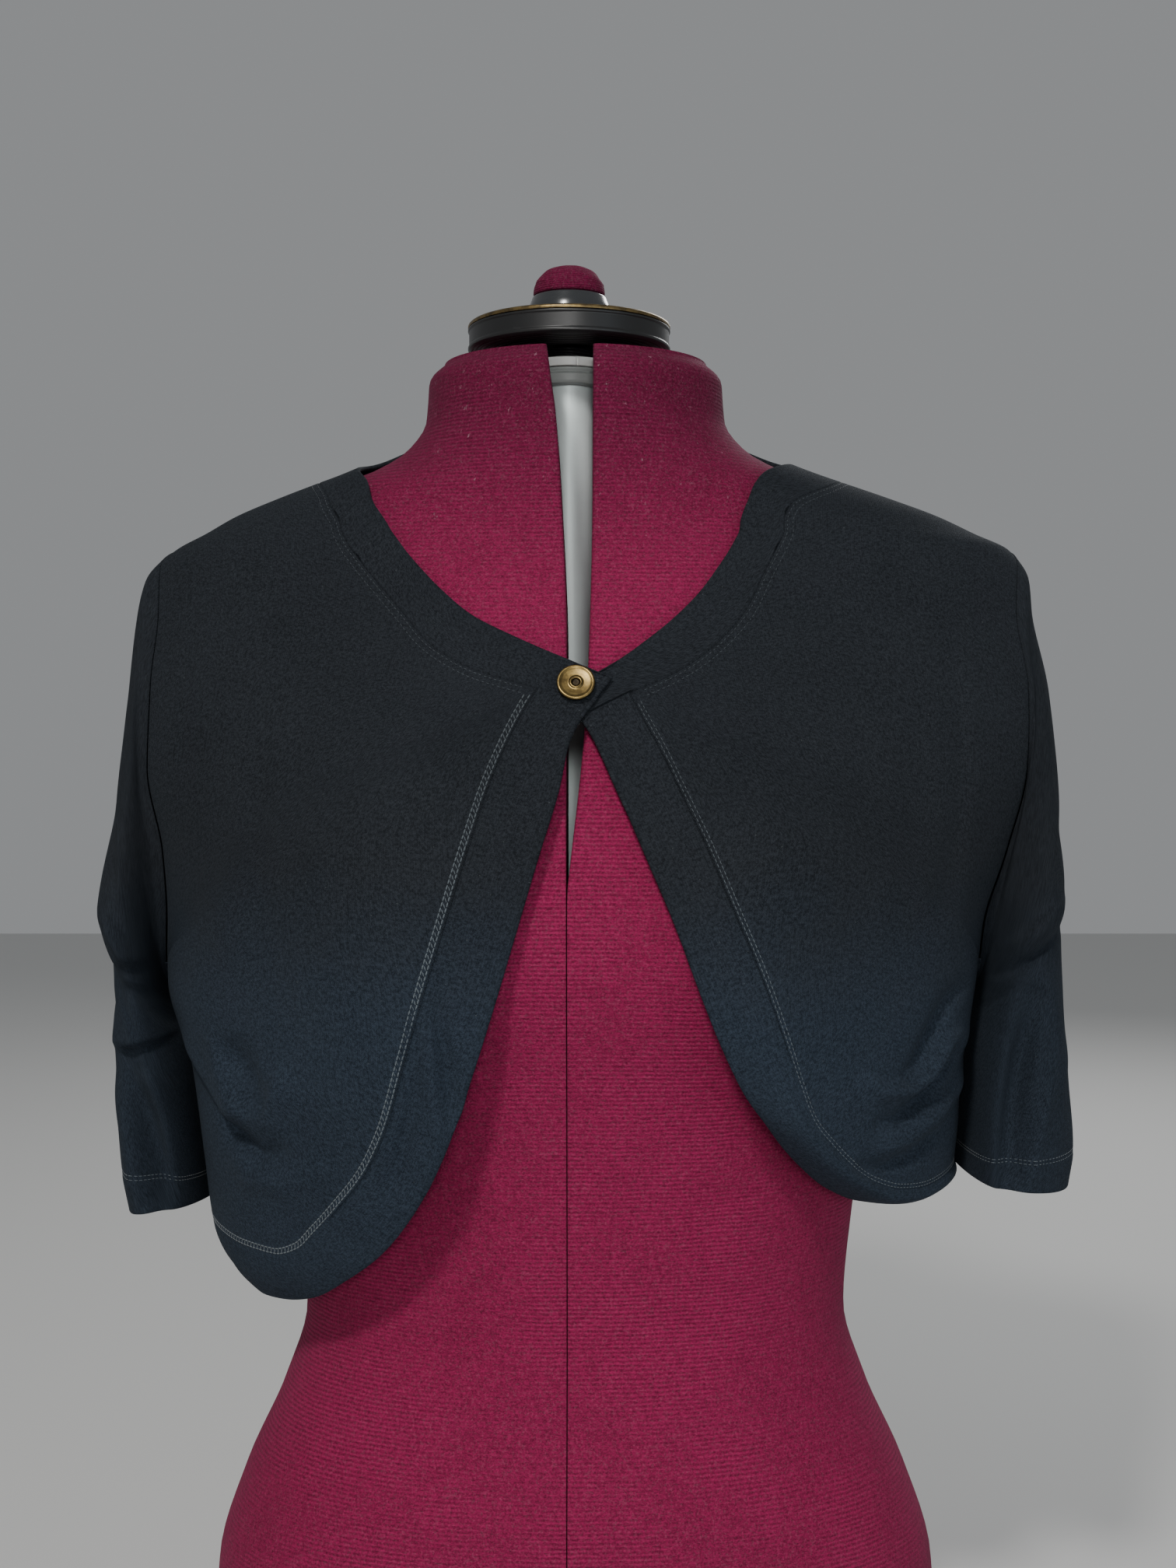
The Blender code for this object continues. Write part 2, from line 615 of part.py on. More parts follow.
def build_front(name, side, band, corner, shoulder):
    """One front: from the side seam and armhole to the front band and neckline."""
    right = side < 0
    outer_column = side_column(side, 1, band.at("seam_z", BAND_CORNER + 3))
    seam_at = lambda key: band_spots(band, key)[0]
    turn = 0 if right else 360
    neck_at = lambda key: (neck_spots(key)[0][0] + turn, neck_spots(key)[0][1])
    inner_column = []
    for key in steps(BAND_CORNER, 0, SEAM_ROWS)[:-1]:
        inner_column.append(away_from(seam_at, key, 0.05, side))
    neck_keys = steps(corner, shoulder, abs(shoulder - corner))
    for key in neck_keys[:-1]:
        spot = away_from(neck_at, key, 0.05, 1)
        if key == corner:
            spot = away_from(seam_at, 0.12, 0.05, side)
        inner_column.append(spot)
    top_z = neck_spots(shoulder)[0][1] - SEAM
    inner_column.append((side_angle(top_z, side, 1), top_z))
    lower_edge = [away_from(seam_at, key, 0.05, side)
                  for key in steps(BAND_CORNER + 3, BAND_CORNER, HEM_COLUMNS)]
    lower_edge[0] = outer_column[0]
    last = len(outer_column) - 1
    spots = []
    for row, (outside, inside) in enumerate(zip(outer_column, inner_column)):
        pull = (1 - row / last) ** 6
        line = []
        for column in range(HEM_COLUMNS + 1):
            share = column / HEM_COLUMNS
            spot = [blend(a, b, share) for a, b in zip(outside, inside)]
            straight = [blend(a, b, share) for a, b in zip(outer_column[0], inner_column[0])]
            line.append(tuple(s + pull * (e - f) for s, e, f in zip(spot, lower_edge[column], straight)))
        spots.append(line)
    return grid_wall(name, spots, right_front=right)


def build_back():
    """The back: one panel from side seam to side seam, up to the back neckline."""
    right_column = side_column(-1, -1, HEM_BAND.at("seam_z", 0))
    left_column = side_column(1, -1, HEM_BAND.at("seam_z", 4))
    left_column = [(angle - 360, z) for angle, z in left_column]
    neck_at = lambda key: neck_spots(key)[0]
    right_neck_z = neck_spots(RIGHT_SHOULDER)[0][1] - SEAM
    left_neck_z = neck_spots(LEFT_SHOULDER)[0][1] - SEAM
    top = []
    for z in steps(right_column[-1][1], right_neck_z, SHOULDER_STEPS):
        top.append((side_angle(z, -1, -1), z))
    for key in steps(RIGHT_SHOULDER, LEFT_SHOULDER, NECK_STEPS)[1:-1]:
        top.append(away_from(neck_at, key, 0.05, 1))
    for z in steps(left_neck_z, left_column[-1][1], SHOULDER_STEPS):
        top.append((side_angle(z, 1, -1) - 360, z))
    columns = len(top) - 1
    last = len(right_column) - 1
    bottom = []
    for column in range(columns + 1):
        key = 4 * column / columns
        bottom.append((HEM_BAND.at("angle", key), HEM_BAND.at("seam_z", key) + SEAM))
    bottom[0] = right_column[0]
    bottom[-1] = left_column[0]
    spots = []
    for row, (first, final) in enumerate(zip(right_column, left_column)):
        rise = (row / last) ** 3
        pull = (1 - row / last) ** 6
        line = []
        for column in range(columns + 1):
            share = column / columns
            spot = []
            for i in (0, 1):
                value = blend(first[i], final[i], share)
                value += rise * (top[column][i] - blend(top[0][i], top[-1][i], share))
                value += pull * (bottom[column][i] - blend(bottom[0][i], bottom[-1][i], share))
                spot.append(value)
            line.append(tuple(spot))
        spots.append(line)
    return grid_wall("shrug_back", spots)


def band_rows(seam, edge, tuck, right_front, rows, lift=0.0):
    """Points across a band from its seam to its edge, and the surface's normals there."""
    start, start_normal = cloth_point(seam, right_front)
    middle_spot = tuple((a + b) / 2 for a, b in zip(seam, edge))
    middle, middle_normal = cloth_point(middle_spot, right_front)
    end, end_normal = cloth_point(edge, right_front)
    end = end - end_normal * tuck
    middle = middle + middle_normal * lift
    points = []
    for step in range(rows + 1):
        t = step / rows
        straight = start.lerp(end, t)
        points.append(straight + (middle - (start + end) / 2) * (4 * t * (1 - t)))
    normals = [start_normal.lerp(end_normal, step / rows).normalized() for step in range(rows + 1)]
    return points, normals


def strip_wall(name, lines, thickness):
    """A band through lines of points, with its wall on the inner side."""
    outer = []
    inner = []
    last = len(lines) - 1
    for i, (points, surface_normals) in enumerate(lines):
        before = lines[max(i - 1, 0)][0]
        after = lines[min(i + 1, last)][0]
        low = []
        for j, point in enumerate(points):
            along = after[j] - before[j]
            across = points[min(j + 1, len(points) - 1)] - points[max(j - 1, 0)]
            normal = along.cross(across).normalized()
            if normal.dot(surface_normals[j]) < 0:
                normal.negate()
            if j == 0 or i in (0, last):
                normal = surface_normals[j]
            low.append(point - normal * thickness)
        outer.append(points)
        inner.append(low)
    return wall(name, outer, inner, "navy jersey")


def build_front_band(name, side, band):
    """A front band, from the button down the front and along the hem to the side seam."""
    right = side < 0
    keys = steps(0, BAND_CORNER, SEAM_ROWS) + steps(BAND_CORNER, BAND_CORNER + 3, HEM_COLUMNS)[1:]
    lines = []
    for key in keys:
        seam, edge = band_spots(band, key)
        lines.append(band_rows(seam, edge, band.at("tuck", key), right, 3))
    return strip_wall(name, lines, BAND)


def build_hem_band():
    """The hem band of the back, from side seam to side seam."""
    columns = 2 * SHOULDER_STEPS + NECK_STEPS
    lines = []
    for column in range(columns + 1):
        key = 4 * column / columns
        angle = HEM_BAND.at("angle", key)
        seam = (angle, HEM_BAND.at("seam_z", key))
        edge = (angle, HEM_BAND.at("edge_z", key))
        if column == 0:
            seam = (side_angle(seam[1], -1, -1), seam[1])
            edge = (side_angle(edge[1], -1, -1), edge[1])
        if column == columns:
            seam = (side_angle(seam[1], 1, -1) - 360, seam[1])
            edge = (side_angle(edge[1], 1, -1) - 360, edge[1])
        lines.append(band_rows(seam, edge, HEM_BAND.at("tuck", key), False, 3))
    return strip_wall("hem_band_back", lines, BAND)


def build_neckband():
    """The neckband, a strip that lies on the chest and stands up round the back of the neck."""
    keys = list(range(RIGHT_SHOULDER))
    keys += steps(RIGHT_SHOULDER, LEFT_SHOULDER, NECK_STEPS)
    keys += range(LEFT_SHOULDER + 1, NECKBAND.count)
    lines = []
    for key in keys:
        seam, edge = neck_spots(key)
        over = key <= RIGHT_SHOULDER
        stand = NECKBAND.at("stand", key)
        lines.append(band_rows(seam, edge, -stand, over, 3, lift=stand / 3))
    return strip_wall("neckband", lines, BAND)


def sleeve_point(sleeve, side, v, turn):
    """Outer point of a sleeve. V runs from the armhole to the cuff, turn goes round it."""
    out_z = sleeve.at("out_z", v)
    in_z = sleeve.at("in_z", v)
    body_half = BODY.at("left" if side < 0 else "right", in_z)
    leave = smooth(v / 0.04)
    outside = Vector((sleeve.at("out_x", v), 0, out_z))
    inside = Vector((side * (body_half + ARM_CLEARANCE * leave), 0, in_z))
    middle = inside.lerp(outside, sleeve.at("ridge", v))
    cosine = math.cos(math.radians(turn))
    sine = math.sin(math.radians(turn))
    reach = abs(cosine) ** (2 / SLEEVE_POWER)
    depth = signed_power(sine, 2 / SLEEVE_POWER)
    point = middle.lerp(outside if cosine > 0 else inside, reach)
    point.y = -depth * sleeve.at("front" if sine > 0 else "back", v)
    point.z += sleeve.at("front_z", v) * depth
    return point


def sleeve_spot(sleeve, side, v, turn):
    """Outer point of a sleeve that starts on the armhole and carries the folds."""
    point = sleeve_point(sleeve, side, v, turn)
    height = (1 + math.cos(math.radians(turn))) / 2
    reach = blend(ARMPIT_BLEND, TOP_BLEND, smooth(height))
    if v < reach:
        spot = armhole_spot(side, turn, grow=-0.1)
        start = body_point(*spot) + body_normal(*spot) * SLEEVE_STEP
        share = (1 - v / reach) ** 2
        point += (start - sleeve_point(sleeve, side, 0, turn)) * share
    facing = math.sin(math.radians(turn))
    height = fold_height("sleeve", facing, point.x, point.z) * smooth(v / 0.12)
    point.y -= height * smooth(abs(facing) / 0.5) * math.copysign(1, facing)
    return point


def build_sleeve(name, side, sleeve):
    """A sleeve, as a tube of sections from the armhole to the cuff."""
    count = 2 * ARM_STEPS
    turns = [360 * step / count for step in range(count)]
    outer = [[sleeve_spot(sleeve, side, v, turn) for turn in turns] for v in SLEEVE_ROWS]
    inner = []
    last = len(outer) - 1
    for i, row in enumerate(outer):
        low = []
        for j, point in enumerate(row):
            along = outer[min(i + 1, last)][j] - outer[max(i - 1, 0)][j]
            around = row[(j + 1) % count] - row[j - 1]
            normal = along.cross(around).normalized() * -side
            low.append(point - normal * JERSEY)
        inner.append(low)
    return wall(name, outer, inner, "navy jersey", closed=True)


def form_sizes(z):
    """Half widths, depths and power of the form's oval at a height."""
    own = {"left": FORM.at("half", z), "right": FORM.at("half", z) + 4 * smooth((z - 400) / 80),
           "front": FORM.at("front", z), "back": FORM.at("back", z), "power": FORM.at("power", z)}
    share = smooth((z - 556) / 24)
    for name in ("left", "right", "front", "back"):
        under_cloth = BODY.at(name, z + FORM_GAP) - FORM_GAP
        own[name] = blend(own[name], under_cloth, share)
    corner = smooth((z - FORM_TOP + 14) / 14) ** 3
    return [own[name] - 7 * corner for name in ("left", "right", "front", "back")] + [own["power"]]


def form_outline(side, z):
    """One half's outline at a height: round the outside, up the split and round the pole."""
    left, right, front, back, power = form_sizes(z)
    slot = SLOT.at("right" if side < 0 else "left", z)
    front_x = SPLIT_X + side * slot
    back_x = SPLIT_X + side * SPLIT_GAP / 2
    points = []
    ends = []
    for x in (front_x, back_x):
        half = right if x > 0 else left
        ends.append(math.degrees(math.asin(math.copysign((abs(x) / half) ** (power / 2), x))))
    count = 17
    for angle in steps(ends[0], side * 180 - ends[1], count):
        points.append(oval_point(angle, z, left, right, front, back, power, FORM_MOUND))
    channel = CHANNEL_RADIUS
    if z <= SOCKET_TOP:
        channel = SOCKET_RADIUS
    if z > COLLAR_POCKET:
        channel = COLLAR_CHANNEL
    start = math.degrees(math.asin(SPLIT_GAP / 2 / channel))
    end = 180 - math.degrees(math.asin(slot / channel))
    for angle in steps(start, end, 8):
        x = SPLIT_X + side * channel * math.sin(math.radians(angle))
        points.append(Vector((x, channel * math.cos(math.radians(angle)), z)))
    return points


def build_form_half(name, side):
    """One half of the dress form, a solid with a slot at the neck and a channel for the pole."""
    heights = [0, 5, 20, SOCKET_TOP, SOCKET_TOP + 0.5, 85, 125, 165, 200, 245, 285, 320, 350, 376]
    heights += [405, 440, 475, 505, 530, 545, 556, 567, 578, 587, 596, 608]
    heights += [COLLAR_POCKET, COLLAR_POCKET + 0.5, 629, 633, FORM_TOP]
    mesh = bmesh.new()
    rings = [[mesh.verts.new(point) for point in form_outline(side, z)] for z in heights]
    count = len(rings[0])
    for low, high in zip(rings, rings[1:]):
        for i in range(count):
            after = (i + 1) % count
            mesh.faces.new([low[i], low[after], high[after], high[i]])
    mesh.faces.new(rings[0])
    mesh.faces.new(rings[-1])
    return add_object(name, mesh, "wine cover")


def build_neck_parts():
    """The pole, its collar, the threaded neck, the dial and the knob with its pincushion."""
    turned("pole", [(0, 0), (POLE_RADIUS, 0), (POLE_RADIUS, POLE_TOP), (0, POLE_TOP)],
           "aluminium", segments=28)
    low = POLE_TOP + FIT
    turned("pole_collar", [(0, low), (COLLAR_RADIUS, low), (COLLAR_RADIUS, low + 6.0),
                           (COLLAR_RADIUS - 1.0, low + 7.0), (0, low + 7.0)],
           "white plastic", segments=28)
    thread_low = low + 7.0 + FIT
    thread_top = DIAL_BOTTOM - FIT
    profile = [(0, thread_low)]
    ribs = 3
    pitch = (thread_top - thread_low) / ribs
    for rib in range(ribs):
        base = thread_low + rib * pitch
        profile += [(16.5, base), (18.0, base + pitch * 0.35), (18.0, base + pitch * 0.7)]
    profile += [(16.5, thread_top), (SPINDLE_RADIUS, thread_top), (SPINDLE_RADIUS, DIAL_TOP + FIT),
                (0, DIAL_TOP + FIT)]
    turned("threaded_neck", profile, "black plastic", segments=24)
    bore = SPINDLE_RADIUS + FIT
    turned("neck_dial", [(bore, DIAL_BOTTOM), (DIAL_RADIUS - 1.5, DIAL_BOTTOM),
                         (DIAL_RADIUS, DIAL_BOTTOM + 1.5), (DIAL_RADIUS, DIAL_TOP - 2.3),
                         (DIAL_RADIUS - 2.0, DIAL_TOP - 2.3), (DIAL_RADIUS - 2.0, DIAL_TOP),
                         (bore, DIAL_TOP)],
           "black plastic", segments=48)
    turned("dial_trim", [(DIAL_RADIUS - 2.0 + FIT, DIAL_TOP - 2.0), (DIAL_RADIUS, DIAL_TOP - 2.0),
                         (DIAL_RADIUS, DIAL_TOP - 0.8), (DIAL_RADIUS - 0.7, DIAL_TOP),
                         (DIAL_RADIUS - 2.0 + FIT, DIAL_TOP)],
           "brass", segments=48)
    knob_low = DIAL_TOP + 2 * FIT
    knob_top = knob_low + 13.0
    turned("knob_base", [(0, knob_low), (18.5, knob_low), (19.5, knob_low + 1.0),
                         (19.5, knob_low + 6.0), (18.0, knob_low + 9.5), (17.2, knob_top),
                         (0, knob_top)],
           "black plastic", segments=32)
    dome_low = knob_top + FIT
    dome = [(0, dome_low)]
    for angle in (0, 15, 32, 50, 70):
        radius = 16.8 * math.cos(math.radians(angle)) ** 0.8
        dome.append((radius, dome_low + 1.0 + 13.0 * math.sin(math.radians(angle))))
    dome.append((0, dome_low + 14.0))
    turned("pincushion", dome, "wine cover", segments=32)


def build_button():
    """The button on the tab, tilted with the cloth, on a small dark foot."""
    spot = (angle_at(BUTTON_X, BUTTON_Z), BUTTON_Z)
    point, normal = cloth_point(spot, True)
    foot = [(0, 0.35), (BUTTON_RADIUS - 2.0, 0.35), (BUTTON_RADIUS - 2.0, 1.2), (0, 1.2)]
    turned("button_foot", foot, "black plastic", segments=24, centre=point, axis=normal)
    face = [(0, 1.5), (BUTTON_RADIUS - 0.6, 1.5), (BUTTON_RADIUS, 2.0), (BUTTON_RADIUS, 2.9),
            (BUTTON_RADIUS - 0.7, 3.4), (BUTTON_RADIUS - 1.8, 3.2), (2.6, 2.9), (2.2, 3.2),
            (1.6, 3.2), (1.3, 2.4), (0, 2.4)]
    turned("button", face, "brass", segments=28, centre=point, axis=normal)


def centre_on_origin():
    """Move the whole part so that the middle of its box's underside is the origin."""
    corners = []
    for item in bpy.data.objects:
        corners += [item.location + vertex.co for vertex in item.data.vertices]
    low = [min(corner[i] for corner in corners) for i in range(3)]
    high = [max(corner[i] for corner in corners) for i in range(3)]
    shift = Vector((-(low[0] + high[0]) / 2, -(low[1] + high[1]) / 2, -low[2]))
    for item in bpy.data.objects:
        item.location += shift
    print("moved by", shift[:])


def main():
    remove_all()
    build_back()
    build_front("shrug_front_right", -1, RIGHT_BAND, RIGHT_CORNER, RIGHT_SHOULDER)
    build_front("shrug_front_left", 1, LEFT_BAND, LEFT_CORNER, LEFT_SHOULDER)
    build_sleeve("sleeve_right", -1, RIGHT_SLEEVE)
    build_sleeve("sleeve_left", 1, LEFT_SLEEVE)
    build_neckband()
    build_front_band("front_band_right", -1, RIGHT_BAND)
    build_front_band("front_band_left", 1, LEFT_BAND)
    build_hem_band()
    build_form_half("form_right", -1)
    build_form_half("form_left", 1)
    build_neck_parts()
    build_button()
    centre_on_origin()


main()
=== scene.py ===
# %% [markdown]
# # A knitted shrug on a limbless dress form
#
# The shrug is a cropped, open cardigan of dark jersey with elbow sleeves. Folded bands of the same
# jersey finish its neck, its fronts and its hem, and one metal button holds it at the neck.
# It rests on a dress form that is split down the middle and has a dial at the neck.
#
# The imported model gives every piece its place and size. This lesson gives each piece its fine
# surface: soft folds and knit in the cloth, seam stitches made with Geometry Nodes, ribs in the
# form's cover, and worn metal and plastic at the neck.
#
# Right and left are the wearer's. The front looks along -Y, so the wearer's right is on -X.

import json
import math

import bmesh
import bpy
import numpy as np
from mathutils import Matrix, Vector
from mathutils.bvhtree import BVHTree


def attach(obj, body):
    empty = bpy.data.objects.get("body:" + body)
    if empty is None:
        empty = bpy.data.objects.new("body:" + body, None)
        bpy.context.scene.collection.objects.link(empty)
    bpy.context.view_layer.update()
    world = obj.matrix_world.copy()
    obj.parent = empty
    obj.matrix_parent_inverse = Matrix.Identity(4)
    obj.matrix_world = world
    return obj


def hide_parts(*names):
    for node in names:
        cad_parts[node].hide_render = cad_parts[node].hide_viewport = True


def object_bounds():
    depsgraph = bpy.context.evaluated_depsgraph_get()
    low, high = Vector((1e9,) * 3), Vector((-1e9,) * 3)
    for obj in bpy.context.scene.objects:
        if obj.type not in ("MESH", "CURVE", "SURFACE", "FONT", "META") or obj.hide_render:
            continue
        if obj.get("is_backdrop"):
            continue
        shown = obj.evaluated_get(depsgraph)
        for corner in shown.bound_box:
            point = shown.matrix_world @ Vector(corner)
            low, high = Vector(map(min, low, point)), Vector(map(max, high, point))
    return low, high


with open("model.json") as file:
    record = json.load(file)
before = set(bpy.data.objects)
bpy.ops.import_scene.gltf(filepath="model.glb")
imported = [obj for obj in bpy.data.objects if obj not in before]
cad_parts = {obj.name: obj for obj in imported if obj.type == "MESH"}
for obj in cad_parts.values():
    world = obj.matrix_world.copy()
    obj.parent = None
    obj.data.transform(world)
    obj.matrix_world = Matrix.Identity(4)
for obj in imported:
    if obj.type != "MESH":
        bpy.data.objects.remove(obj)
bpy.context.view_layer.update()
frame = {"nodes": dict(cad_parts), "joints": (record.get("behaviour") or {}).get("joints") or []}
print("pieces in the frame:", len(frame["nodes"]))

# %% [markdown]
# ## Units and place
#
# A garment is drawn in millimetres, and Blender works in metres. All the drawing below is in
# millimetres round the dress form's pole, and `place` moves a finished point to the frame.
# The pole stands under the dial, so the dial's joint says where the drawing belongs.

# %% Millimetres and the drawing's place
MM = 0.001
SPLIT_X = -3.0        # plane where the form's two halves meet
dial_axis = frame["joints"][0]["pos_m"]
SHIFT = np.array([dial_axis[0] / MM - SPLIT_X, dial_axis[1] / MM, 0.0])


def place(points):
    """Points of the drawing, in millimetres, as points of the frame, in metres."""
    return (np.asarray(points) + SHIFT) * MM


print("drawing moved by", SHIFT.round(2), "mm")

# %% [markdown]
# ## The camera
#
# The photograph looks square to the front. Its camera is taken to stand level with the chest and
# 0.95 m away, so near parts look larger than far ones. A level camera there with the matching
# lens gives the same view, and no shift is needed.

# %% Camera
IMAGE_HEIGHT = 2016
FOCAL_PIXELS = 2598
CAMERA_PLACE = (5.85, -950.0, 440.0)
camera_data = bpy.data.cameras.new("camera")
camera_data.sensor_width = 36.0
camera_data.lens = FOCAL_PIXELS / IMAGE_HEIGHT * camera_data.sensor_width
camera_data.clip_start = 0.05
camera = bpy.data.objects.new("camera", camera_data)
camera.location = place(CAMERA_PLACE)
camera.rotation_euler = (math.radians(90), 0.0, 0.0)
bpy.context.scene.collection.objects.link(camera)
bpy.context.scene.camera = camera
print("lens", round(camera_data.lens, 2), "mm")

# %% [markdown]
# ## Writing a material like a sum
#
# A procedural material is a small sum at each point of the surface. Written node by node it is
# long and hard to read, so one class wraps a socket and lets Python's operators add the Math
# nodes. A second class is the material itself, and its `node` method makes every other node.

# %% Sockets that can be added and multiplied
def feed(tree, socket, value):
    """Give an input a plain value, or the output or Value that feeds it."""
    value = getattr(value, "socket", value)
    if isinstance(value, bpy.types.NodeSocket):
        tree.links.new(value, socket)
    else:
        socket.default_value = value


def add_node(tree, kind, settings=None, inputs=None):
    """A new node with its settings and its inputs."""
    made = tree.nodes.new(kind)
    for name, value in (settings or {}).items():
        setattr(made, name, value)
    for key, value in (inputs or {}).items():
        feed(tree, made.inputs[key], value)
    return made


class Value:
    """A number that varies over the surface. Python's operators on it add Math nodes."""

    def __init__(self, finish, socket):
        self.finish = finish
        self.socket = socket

    def math(self, operation, *others):
        """A Math node with this value first."""
        made = self.finish.node("ShaderNodeMath", {"operation": operation},
                                dict(enumerate((self,) + others)))
        return Value(self.finish, made.outputs[0])

    def __add__(self, other):
        return self.math("ADD", other)

    def __sub__(self, other):
        return self.math("SUBTRACT", other)

    def __rsub__(self, other):
        return (self * -1.0) + other

    def __mul__(self, other):
        return self.math("MULTIPLY", other)

    __radd__ = __add__
    __rmul__ = __mul__

    def limited(self):
        """The value kept between 0 and 1."""
        return self.math("MAXIMUM", 0.0).math("MINIMUM", 1.0)


class Finish:
    """A material, with one method for every kind of node."""

    def __init__(self, name, colour, roughness, metallic=0.0, constants=None):
        self.material = bpy.data.materials.new(name)
        self.material.use_nodes = True
        self.tree = self.material.node_tree
        self.shader = self.tree.nodes["Principled BSDF"]
        self.colour = (*colour, 1.0)
        self.set("Base Color", self.colour)
        self.set("Roughness", roughness)
        self.set("Metallic", metallic)
        for socket, value in (constants or {}).items():
            self.set(socket, value)

    def node(self, kind, settings=None, inputs=None):
        return add_node(self.tree, kind, settings, inputs)

    def set(self, name, value):
        """Set or feed an input of the Principled shader."""
        feed(self.tree, self.shader.inputs[name], value)

    def out(self, node, key=0):
        return Value(self, node.outputs[key])

    def coordinates(self):
        """The three object coordinates, in metres, and the vector itself."""
        vector = self.out(self.node("ShaderNodeTexCoord"), "Object")
        split = self.node("ShaderNodeSeparateXYZ", inputs={0: vector})
        return [self.out(split, i) for i in range(3)] + [vector]

    def surface_map(self):
        """The piece's own two cloth coordinates, in metres."""
        vector = self.out(self.node("ShaderNodeUVMap", {"uv_map": "UVMap"}))
        split = self.node("ShaderNodeSeparateXYZ", inputs={0: vector})
        return self.out(split, 0), self.out(split, 1), vector

    def noise(self, vector, scale, detail=2.0, roughness=0.5):
        inputs = {"Vector": vector, "Scale": scale, "Detail": detail, "Roughness": roughness}
        return self.out(self.node("ShaderNodeTexNoise", inputs=inputs))

    def stretched(self, vector, scale):
        """The vector multiplied by a scale of its own for each axis."""
        made = self.node("ShaderNodeMapping", inputs={"Vector": vector, "Scale": scale})
        return self.out(made)

    def mix(self, factor, first, second):
        made = self.node("ShaderNodeMix", {"data_type": "RGBA"}, {0: factor, 6: first, 7: second})
        return self.out(made, 2)

    def ramp(self, value, low, high):
        """The value spread so that low becomes 0 and high becomes 1."""
        made = self.node("ShaderNodeMapRange", {"interpolation_type": "SMOOTHSTEP"},
                         {"Value": value, "From Min": low, "From Max": high})
        return self.out(made)

    def bump(self, height, distance, strength=1.0):
        made = self.node("ShaderNodeBump",
                         inputs={"Height": height, "Distance": distance, "Strength": strength})
        self.set("Normal", self.out(made))


def scaled(colour, share):
    """A colour made darker or lighter."""
    return tuple(channel * share for channel in colour[:3]) + (1.0,)


print("material classes ready")

# %% [markdown]
# ## Jersey
#
# Jersey is a single knit. Its face shows columns of small V stitches, called wales, and in a fine
# dark yarn they read as a soft grain. An image would blur close up, so the V stitches are worked
# out from each piece's own cloth coordinates. The colour is painted greyer high up and bluer low
# down, a painted tint for the bluish light that falls low on the cloth, and the sleeves get a darker
# copy as painted shade. Loose fibres catch a little light, which a weak sheen and a few paler specks
# stand for.

# %% Jersey material
WALE = 0.00105        # width of one column of stitches, in metres
COURSE = 0.00085      # height of one row of stitches
PAINTED_BLUE_LIGHT_HEIGHTS = (0.325, 0.415)   # heights between which the painted bluish light low down gives way to grey, in metres
INDIGO = (0.0190, 0.0218, 0.0262)
# Painted light: the bluer colour painted on the cloth low down, standing for the bluish light there.
NAVY = (0.0240, 0.0330, 0.0465)
# Painted shade: a darker low colour for the sleeves, which hang back in shade.
SLEEVE_PAINTED_SHADE_NAVY = (0.0190, 0.0255, 0.0350)
LINT = (0.09, 0.10, 0.10, 1.0)


def jersey(name, low_painted_colour):
    """Jersey, a greyer indigo high up and painted low down with the given colour: painted bluish light, and
    painted shade as well on the sleeves.
    """
    finish = Finish(name, INDIGO, 0.88, constants={
        "Sheen Weight": 0.03, "Sheen Roughness": 0.45, "Sheen Tint": (0.62, 0.74, 0.86, 1.0),
        "Specular IOR Level": 0.04})
    across, along, vector = finish.surface_map()
    z, place_on_body = finish.coordinates()[2:]
    wale = across * (1 / WALE)
    leg = (wale.math("FRACT") - 0.5).math("ABSOLUTE") * 2.0
    row = (along * (1 / COURSE) + leg * 0.8) * (2 * math.pi)
    stitch = (1.0 - leg * leg) * 0.65 + row.math("SINE") * 0.35
    fibres = finish.noise(finish.stretched(vector, (1.0, 0.6, 1.0)), 2600.0, 3.0, 0.7)
    grain = finish.ramp(finish.noise(vector, 800.0, 2.0, 0.7), 0.36, 0.64)
    cloudy = finish.ramp(finish.noise(vector, 330.0, 3.0, 0.65), 0.34, 0.66)
    patches = finish.noise(place_on_body, 22.0, 4.0, 0.6)
    tone = grain * 0.46 + cloudy * 0.20 + (fibres - 0.5) * 1.0 + (patches - 0.5) * 0.4 + stitch * 0.20
    # Painted light: low down the colour turns bluer, a painted tint for the bluish light that falls there.
    painted_blue_fade = finish.ramp(z + (patches - 0.5) * 0.06, *PAINTED_BLUE_LIGHT_HEIGHTS)
    dark, light = [finish.mix(painted_blue_fade, scaled(low_painted_colour, share), scaled(INDIGO, share))
                   for share in (0.46, 1.56)]
    dyed = finish.mix(tone.limited(), dark, light)
    lint = finish.ramp(finish.noise(vector, 760.0, 1.0, 0.4), 0.765, 0.80)
    finish.set("Base Color", finish.mix(lint * 0.4, dyed, LINT))
    finish.set("Roughness", 0.80 + fibres * 0.16)
    finish.bump(stitch * 0.6 + fibres * 0.5 + cloudy * 0.35, 0.00022, 0.75)
    return finish.material


cloth_look = jersey("indigo jersey", NAVY)
# The sleeves' copy of the jersey is darker low down as painted shade.
sleeve_painted_shade_look = jersey("indigo sleeve jersey with painted shade", SLEEVE_PAINTED_SHADE_NAVY)
print("jersey ready, wales", WALE / MM, "mm wide")

# %% Thread, painted paler low down and darker high up
THREAD_SHADE = (0.022, 0.030, 0.036, 1.0)
THREAD_PAINTED_LIGHT_LOW = (0.130, 0.160, 0.180, 1.0)
THREAD_PAINTED_SHADE_HIGH = (0.052, 0.066, 0.076, 1.0)
thread_finish = Finish("seam thread", (0.055, 0.070, 0.080), 0.62, constants={"Sheen Weight": 0.3})
thread_z, thread_place = thread_finish.coordinates()[2:]
thread_turns = thread_finish.noise(thread_place, 1500.0, 2.0, 0.6)
